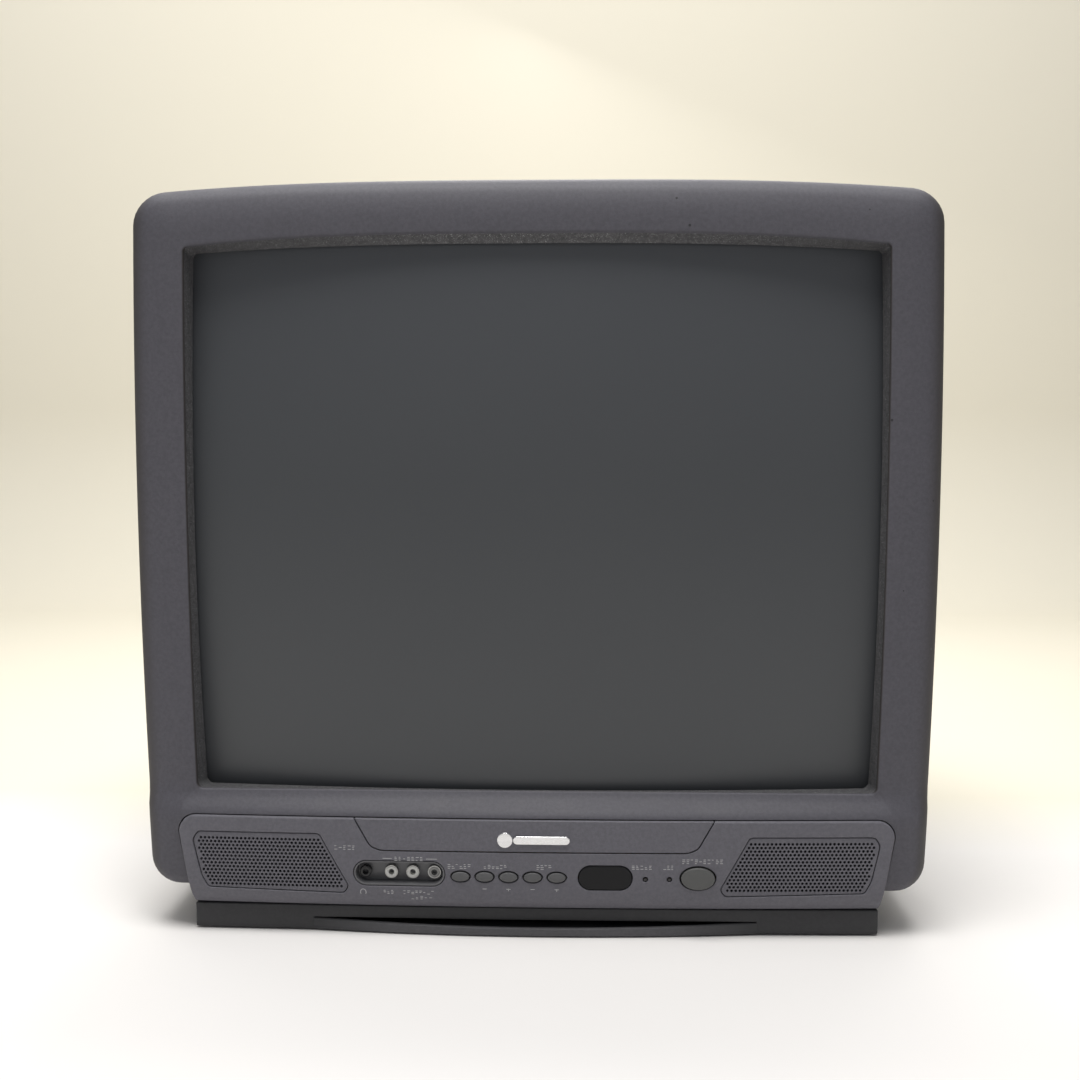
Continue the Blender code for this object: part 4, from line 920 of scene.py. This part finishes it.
x = np.linspace(-plinth["half"], plinth["half"], 49)
rearCorners = [(plinth["half"], plinth["back"]), (-plinth["half"], plinth["back"])]
plan = np.vstack([np.stack([x, bandBack(x)], -1), rearCorners])
levels = [np.column_stack([plan, np.full(len(plan), z)]) for z in (plinth["low"], plinth["top"])]
base = outward(newMesh("plinthBody", np.concatenate(levels), ringFaces(2, len(plan))))
inner = plinth["half"] - plinth["wall"]
slotHalf = plinth["lipHalf"] - plinth["wall"]
cutters = [boxes("step", (-230, -15, plinth["stepZ"]), (230, plinth["stepBack"], 40)),
           boxes("hollow", (-inner, plinth["hollowFront"], -5),
                 (inner, plinth["back"] - plinth["wall"], plinth["ceiling"])),
           boxes("slot", (-slotHalf, -15, plinth["slotLow"]),
                 (slotHalf, plinth["hollowFront"] + 2, plinth["slotTop"]))]
cut(base, *cutters)
soften(base, 0.8)
settle(cut(base), "plinthPlastic", replaces=["plinth"], smooth=40)

# The lip in front of the finger slot: it bows forward and dips as one less the square of the way from its
# middle
x = np.linspace(-plinth["lipHalf"], plinth["lipHalf"], 97)
share = 1 - (x / plinth["lipHalf"]) ** 2
front = bandBack(x) + plinth["lipStep"] - plinth["lipBow"] * share
top = plinth["slotTop"] - seam - plinth["lipDip"] * share
low = np.full_like(x, plinth["low"])
section = [(front, low)]
for angle in np.linspace(0, math.pi / 2, 6):
    section.append((front + plinth["lipRound"] * (1 - math.cos(angle)),
                    top - plinth["lipRound"] * (1 - math.sin(angle))))
section += [(front + plinth["lipWall"], top), (front + plinth["lipWall"], low)]
points = np.stack([np.stack([x, back, z], -1) for back, z in section], 1)
lipPiece = outward(newMesh("plinthLip", points.reshape(-1, 3), ringFaces(len(x), len(section))))
settle(lipPiece, "lipPlastic", replaces=["plinth_lip"], smooth=40)

# The rubber feet, turned about upright axes from rows of (radius, z)
foot = {"x": 199.55, "front": 26.5, "rear": 277.0, "around": 40,
        "rows": [(0.02, 0.0), (8.4, 0.0), (9.1, 0.3), (9.5, 0.9), (10.4, 19.9), (10.1, 20.6), (0.02, 20.6)]}
angle = np.arange(foot["around"]) * math.tau / foot["around"]
ring = np.stack([np.cos(angle), np.sin(angle)], -1)
for end in ("front", "rear"):
    for side, x in (("left", -foot["x"]), ("right", foot["x"])):
        name = f"{end}_{side}_foot"
        middle = np.array([x, foot[end]])
        points = [np.column_stack([middle + radius * ring, np.full_like(angle, z)])
                  for radius, z in foot["rows"]]
        made = newMesh(name + "Pad", np.concatenate(points), ringFaces(len(foot["rows"]), foot["around"]))
        settle(outward(made), "rubber", replaces=[name])
print("plinth made")

# The rear cover: each station is back, half width, top, corner radius, arch of the top and foot. Between
# stations the values run straight, and each is then averaged over a few millimetres, which rounds the folds
stations = np.array([(95.4, 250.4, 467, 20, 8, 25), (148, 248, 464, 22, 7.5, 25), (160, 240, 456, 24, 7, 25),
                     (235, 222, 430, 28, 5, 25), (310, 196, 392, 32, 3, 25), (385, 164, 352, 34, 1.5, 25),
                     (448, 148, 334, 34, 0.5, 25), (459, 144, 330, 34, 0.3, 25), (464, 136, 322, 30, 0, 33)],
                    float)
cover = {"smooth": 7.0, "wall": 3.0, "first": 95.4, "last": 464, "footRadius": 20, "screwX": 122, "screwZ": 42}
backs = np.concatenate([np.linspace(cover["first"], 440, 84), np.linspace(443, cover["last"], 16)])
reach = np.minimum(cover["smooth"], np.minimum(backs - cover["first"], cover["last"] - backs))
spots = backs[:, None] + reach[:, None] * np.linspace(-1, 1, 9)
half, top, radius, arch, low = (np.interp(spots, stations[:, 0], stations[:, k]).mean(1) for k in range(1, 6))
rings = []
for k, back in enumerate(backs):
    loop = rounded(half[k], low[k], top[k], min(radius[k], cover["footRadius"]), radius[k], 72, 60, 10)
    x, z = loop.T
    bend = 1 - cabinet["bow"] * (z - cabinet["widestZ"]) ** 2 * half[k] / cabinet["half"]
    middleZ = cabinet["widestZ"] * top[k] / cabinet["top"]
    drop = arch[k] * (np.abs(x) / half[k]) ** 3 * np.clip((z - middleZ) / (top[k] - middleZ), 0, 1)
    rings.append(deep(np.stack([x * bend, z - drop], -1), back))
rearCover = thicken(loft("rearCover", rings, capFirst=False), cover["wall"])

# The cover's openings: slots across the top, three columns of louvres, a window for the sockets, and round
# holes for the aerial, the cord and the screws
vent = {"topX": np.arange(-17, 18) * 7.6, "topHalf": 1.7, "topRows": ((176, 197), (204, 225)),
        "rearZ": np.arange(10) * 6.6 + 238, "rearTall": 3.0, "rearColumns": ((-92, -34), (-29, 29), (34, 92))}
aerial = {"x": 70, "z": 80, "hole": 9}
gland = {"x": 60, "z": 46, "hole": 6.5}
lows, highs = [], []
for first, last in vent["topRows"]:
    lows += [(x - vent["topHalf"], first, 300) for x in vent["topX"]]
    highs += [(x + vent["topHalf"], last, 480) for x in vent["topX"]]
for z in vent["rearZ"]:
    for first, last in vent["rearColumns"]:
        lows.append((first, 440, z))
        highs.append((last, 480, z + vent["rearTall"]))
lows.append((-118, 440, 55))
highs.append((28, 480, 115))
rounds = [ellipse(hole["x"], hole["z"], hole["hole"], hole["hole"]) for hole in (aerial, gland)]
rounds += [ellipse(x, cover["screwZ"], 5.0, 5.0, 32) for x in (-cover["screwX"], cover["screwX"])]
cut(rearCover, boxes("vents", lows, highs), bars(rounds, 455, 480))
settle(rearCover, "rear_plastic", replaces=["rear_cover"], smooth=40)
print("rear cover made")

# The terminal panel: a plate with a row of picture and sound sockets above another
terminal = {"low": (-117.6, 457, 55.4), "high": (27.6, 461, 114.6), "firstX": -98, "pitch": 28,
            "rows": (98, 73)}
plateBack = soften(boxes("terminalPlate", terminal["low"], terminal["high"]), 0.8)
settle(cut(plateBack), "black_plastic", replaces=["terminal_panel"])
rearRows = {"socket": [(0.02, 458), (1.7, 458), (1.7, 462.9), (1.9, 463.1), (3.2, 463.1), (3.4, 462.9),
                       (3.4, 455), (0.02, 455)],
            "shell": [(3.4, 456), (3.4, 462.6), (3.5, 462.8), (4.0, 462.8), (4.15, 462.5), (4.15, 461.4),
                      (5.6, 461.2), (5.6, 456), (3.4, 456)],
            "aerial": [(0.02, 456), (0.7, 456), (0.7, 461), (2.6, 461), (3.0, 461), (3.0, 463.3), (3.3, 463.6),
                       (6.1, 463.6), (6.5, 463.2), (6.5, 459), (8.6, 459), (8.6, 452), (0.02, 452)],
            "gland": [(0.02, 458), (3.0, 458), (3.2, 463.2), (3.6, 463.6), (5.6, 463.6), (6.1, 463.1),
                      (6.1, 457), (9, 457), (9, 451), (0.02, 451)]}


# Profile rows of (radius, back) turned about an axis at (x, z), for pieces that face backwards
def turnedRear(name, x, z, rows):
    return turned(name, x, z, 1, 1, rows[::-1], 32)


for z, level, last in zip(terminal["rows"], ("Upper", "Lower"), ("jackGrey", "black_plastic")):
    for i, colour in enumerate(("jackYellow", "jack_white", "jackRed", last)):
        x = terminal["firstX"] + i * terminal["pitch"]
        name = f"rearSocket{i + 1}{level}"
        settle(turnedRear(name, x, z, rearRows["socket"]), colour)
        settle(turnedRear(name + "Shell", x, z, rearRows["shell"]), "steel")
settle(turnedRear("aerialSocket", aerial["x"], aerial["z"], rearRows["aerial"]), "steel")
settle(turnedRear("cordGland", gland["x"], gland["z"], rearRows["gland"]), "rubber", replaces=["cord_gland"])


# A pan-head screw that faces backwards, with a cross cut in its head
def crossScrew(name, x, z, seat, radius, tall, node):
    shank, foot = radius * 0.4, seat - 12
    rows = [(0.02, seat + tall), (radius * 0.5, seat + tall - 0.08), (radius * 0.85, seat + tall * 0.75),
            (radius, seat + tall * 0.3), (radius, seat), (shank, seat), (shank, foot), (0.02, foot)]
    screw = turnedRear(name, x, z, rows)
    arm, slot = radius * 0.62, radius * 0.13
    level = seat + tall * 0.45
    flat = boxes("cross", (x - arm, level, z - slot), (x + arm, seat + 9, z + slot))
    upright = boxes("cross", (x - slot, level, z - arm), (x + slot, seat + 9, z + arm))
    return settle(cut(screw, flat, upright), "steel", replaces=[node])


for side, x in (("left", -cover["screwX"]), ("right", cover["screwX"])):
    crossScrew(side + "CoverScrew", x, cover["screwZ"], 464.3, 4.0, 2.5, "cover_screw_" + side)
print("rear fittings made")

# The room: a white table top that curves up into a warm pale wall, as one profile carried across
room = {"halfWidth": 3.2, "front": -3.0, "turnY": 1.15, "turnRadius": 0.35, "height": 3.0}
angle = np.linspace(0, math.pi / 2, 17)
profileY = np.concatenate([[room["front"]], room["turnY"] + room["turnRadius"] * np.sin(angle),
                           [room["turnY"] + room["turnRadius"]]])
profileZ = np.concatenate([[0.0], room["turnRadius"] * (1 - np.cos(angle)), [room["height"]]])
points = np.stack([np.stack([np.full_like(profileY, x), profileY, profileZ], -1)
                   for x in (-room["halfWidth"], room["halfWidth"])])
steps = np.arange(len(profileY) - 1)
faces = np.stack([steps, steps + len(profileY), steps + len(profileY) + 1, steps + 1], -1)
mesh = bpy.data.meshes.new("room")
mesh.from_pydata(points.reshape(-1, 3).tolist(), [], faces.tolist())
mesh.shade_smooth()
material, shader, place = newMaterial("roomPaint", rough=0.7, specular=0.2)
away = place.node("ShaderNodeSeparateXYZ", {0: place}, 1)
paint = ((away + 0.06) * 7.0).clamp().blend((0.80, 0.78, 0.76), (0.72, 0.68, 0.575))
plug(shader, colour=((place.noise(3.0, 4.0) - 0.5) * 0.06).clamp().blend(paint, (0.6, 0.58, 0.54)))
mesh.materials.append(material)
floor = bpy.data.objects.new("room", mesh)
scene.collection.objects.link(floor)


# A square or oblong light that looks at a point
def addLight(name, place, target, width, height, power, colour=(1, 1, 1)):
    data = bpy.data.lights.new(name, "AREA")
    data.shape = "RECTANGLE"
    data.size = width
    data.size_y = height
    data.energy = power
    data.color = colour
    lamp = bpy.data.objects.new(name, data)
    lamp.location = place
    lamp.rotation_euler = (Vector(target) - Vector(place)).to_track_quat("-Z", "Y").to_euler()
    scene.collection.objects.link(lamp)
    return lamp


addLight("keyLight", (-0.1, -0.62, 2.1), (0, -0.3, 0.2), 1.4, 0.9, 44, (1.0, 0.99, 0.975))
addLight("topLight", (-0.06, 0.75, 1.25), (-0.05, -0.2, 0.45), 0.45, 0.25, 5)
addLight("wallWash", (-0.3, 0.55, 2.2), (-0.2, 1.5, 0.5), 2.6, 0.4, 20)
addLight("leftFill", (-1.7, -0.7, 0.8), (0, 0, 0.25), 1.2, 1.2, 1)
addLight("rearFill", (0.4, 1.05, 1.3), (0, 0.1, 0.3), 1.2, 0.6, 5)
world = bpy.data.worlds.new("softRoom")
world.use_nodes = True
world.node_tree.nodes["Background"].inputs[0].default_value = (0.93, 0.95, 1.0, 1.0)
world.node_tree.nodes["Background"].inputs[1].default_value = 0.32
scene.world = world
scene.view_settings.view_transform = "Standard"

viewer = {"lens": 43.333, "sensor": 36.0, "x": 0.0299, "front": 0.7939, "z": 0.3165,
          "forward": (-0.0329, 0.9957, -0.0866)}
camera = bpy.data.objects.new("camera", bpy.data.cameras.new("camera"))
camera.data.lens = viewer["lens"]
camera.data.sensor_width = viewer["sensor"]
camera.location = (viewer["x"], lipY * mm - viewer["front"], viewer["z"])
camera.rotation_euler = Vector(viewer["forward"]).to_track_quat("-Z", "Y").to_euler()
scene.collection.objects.link(camera)
scene.camera = camera
print("room, lights and camera made")
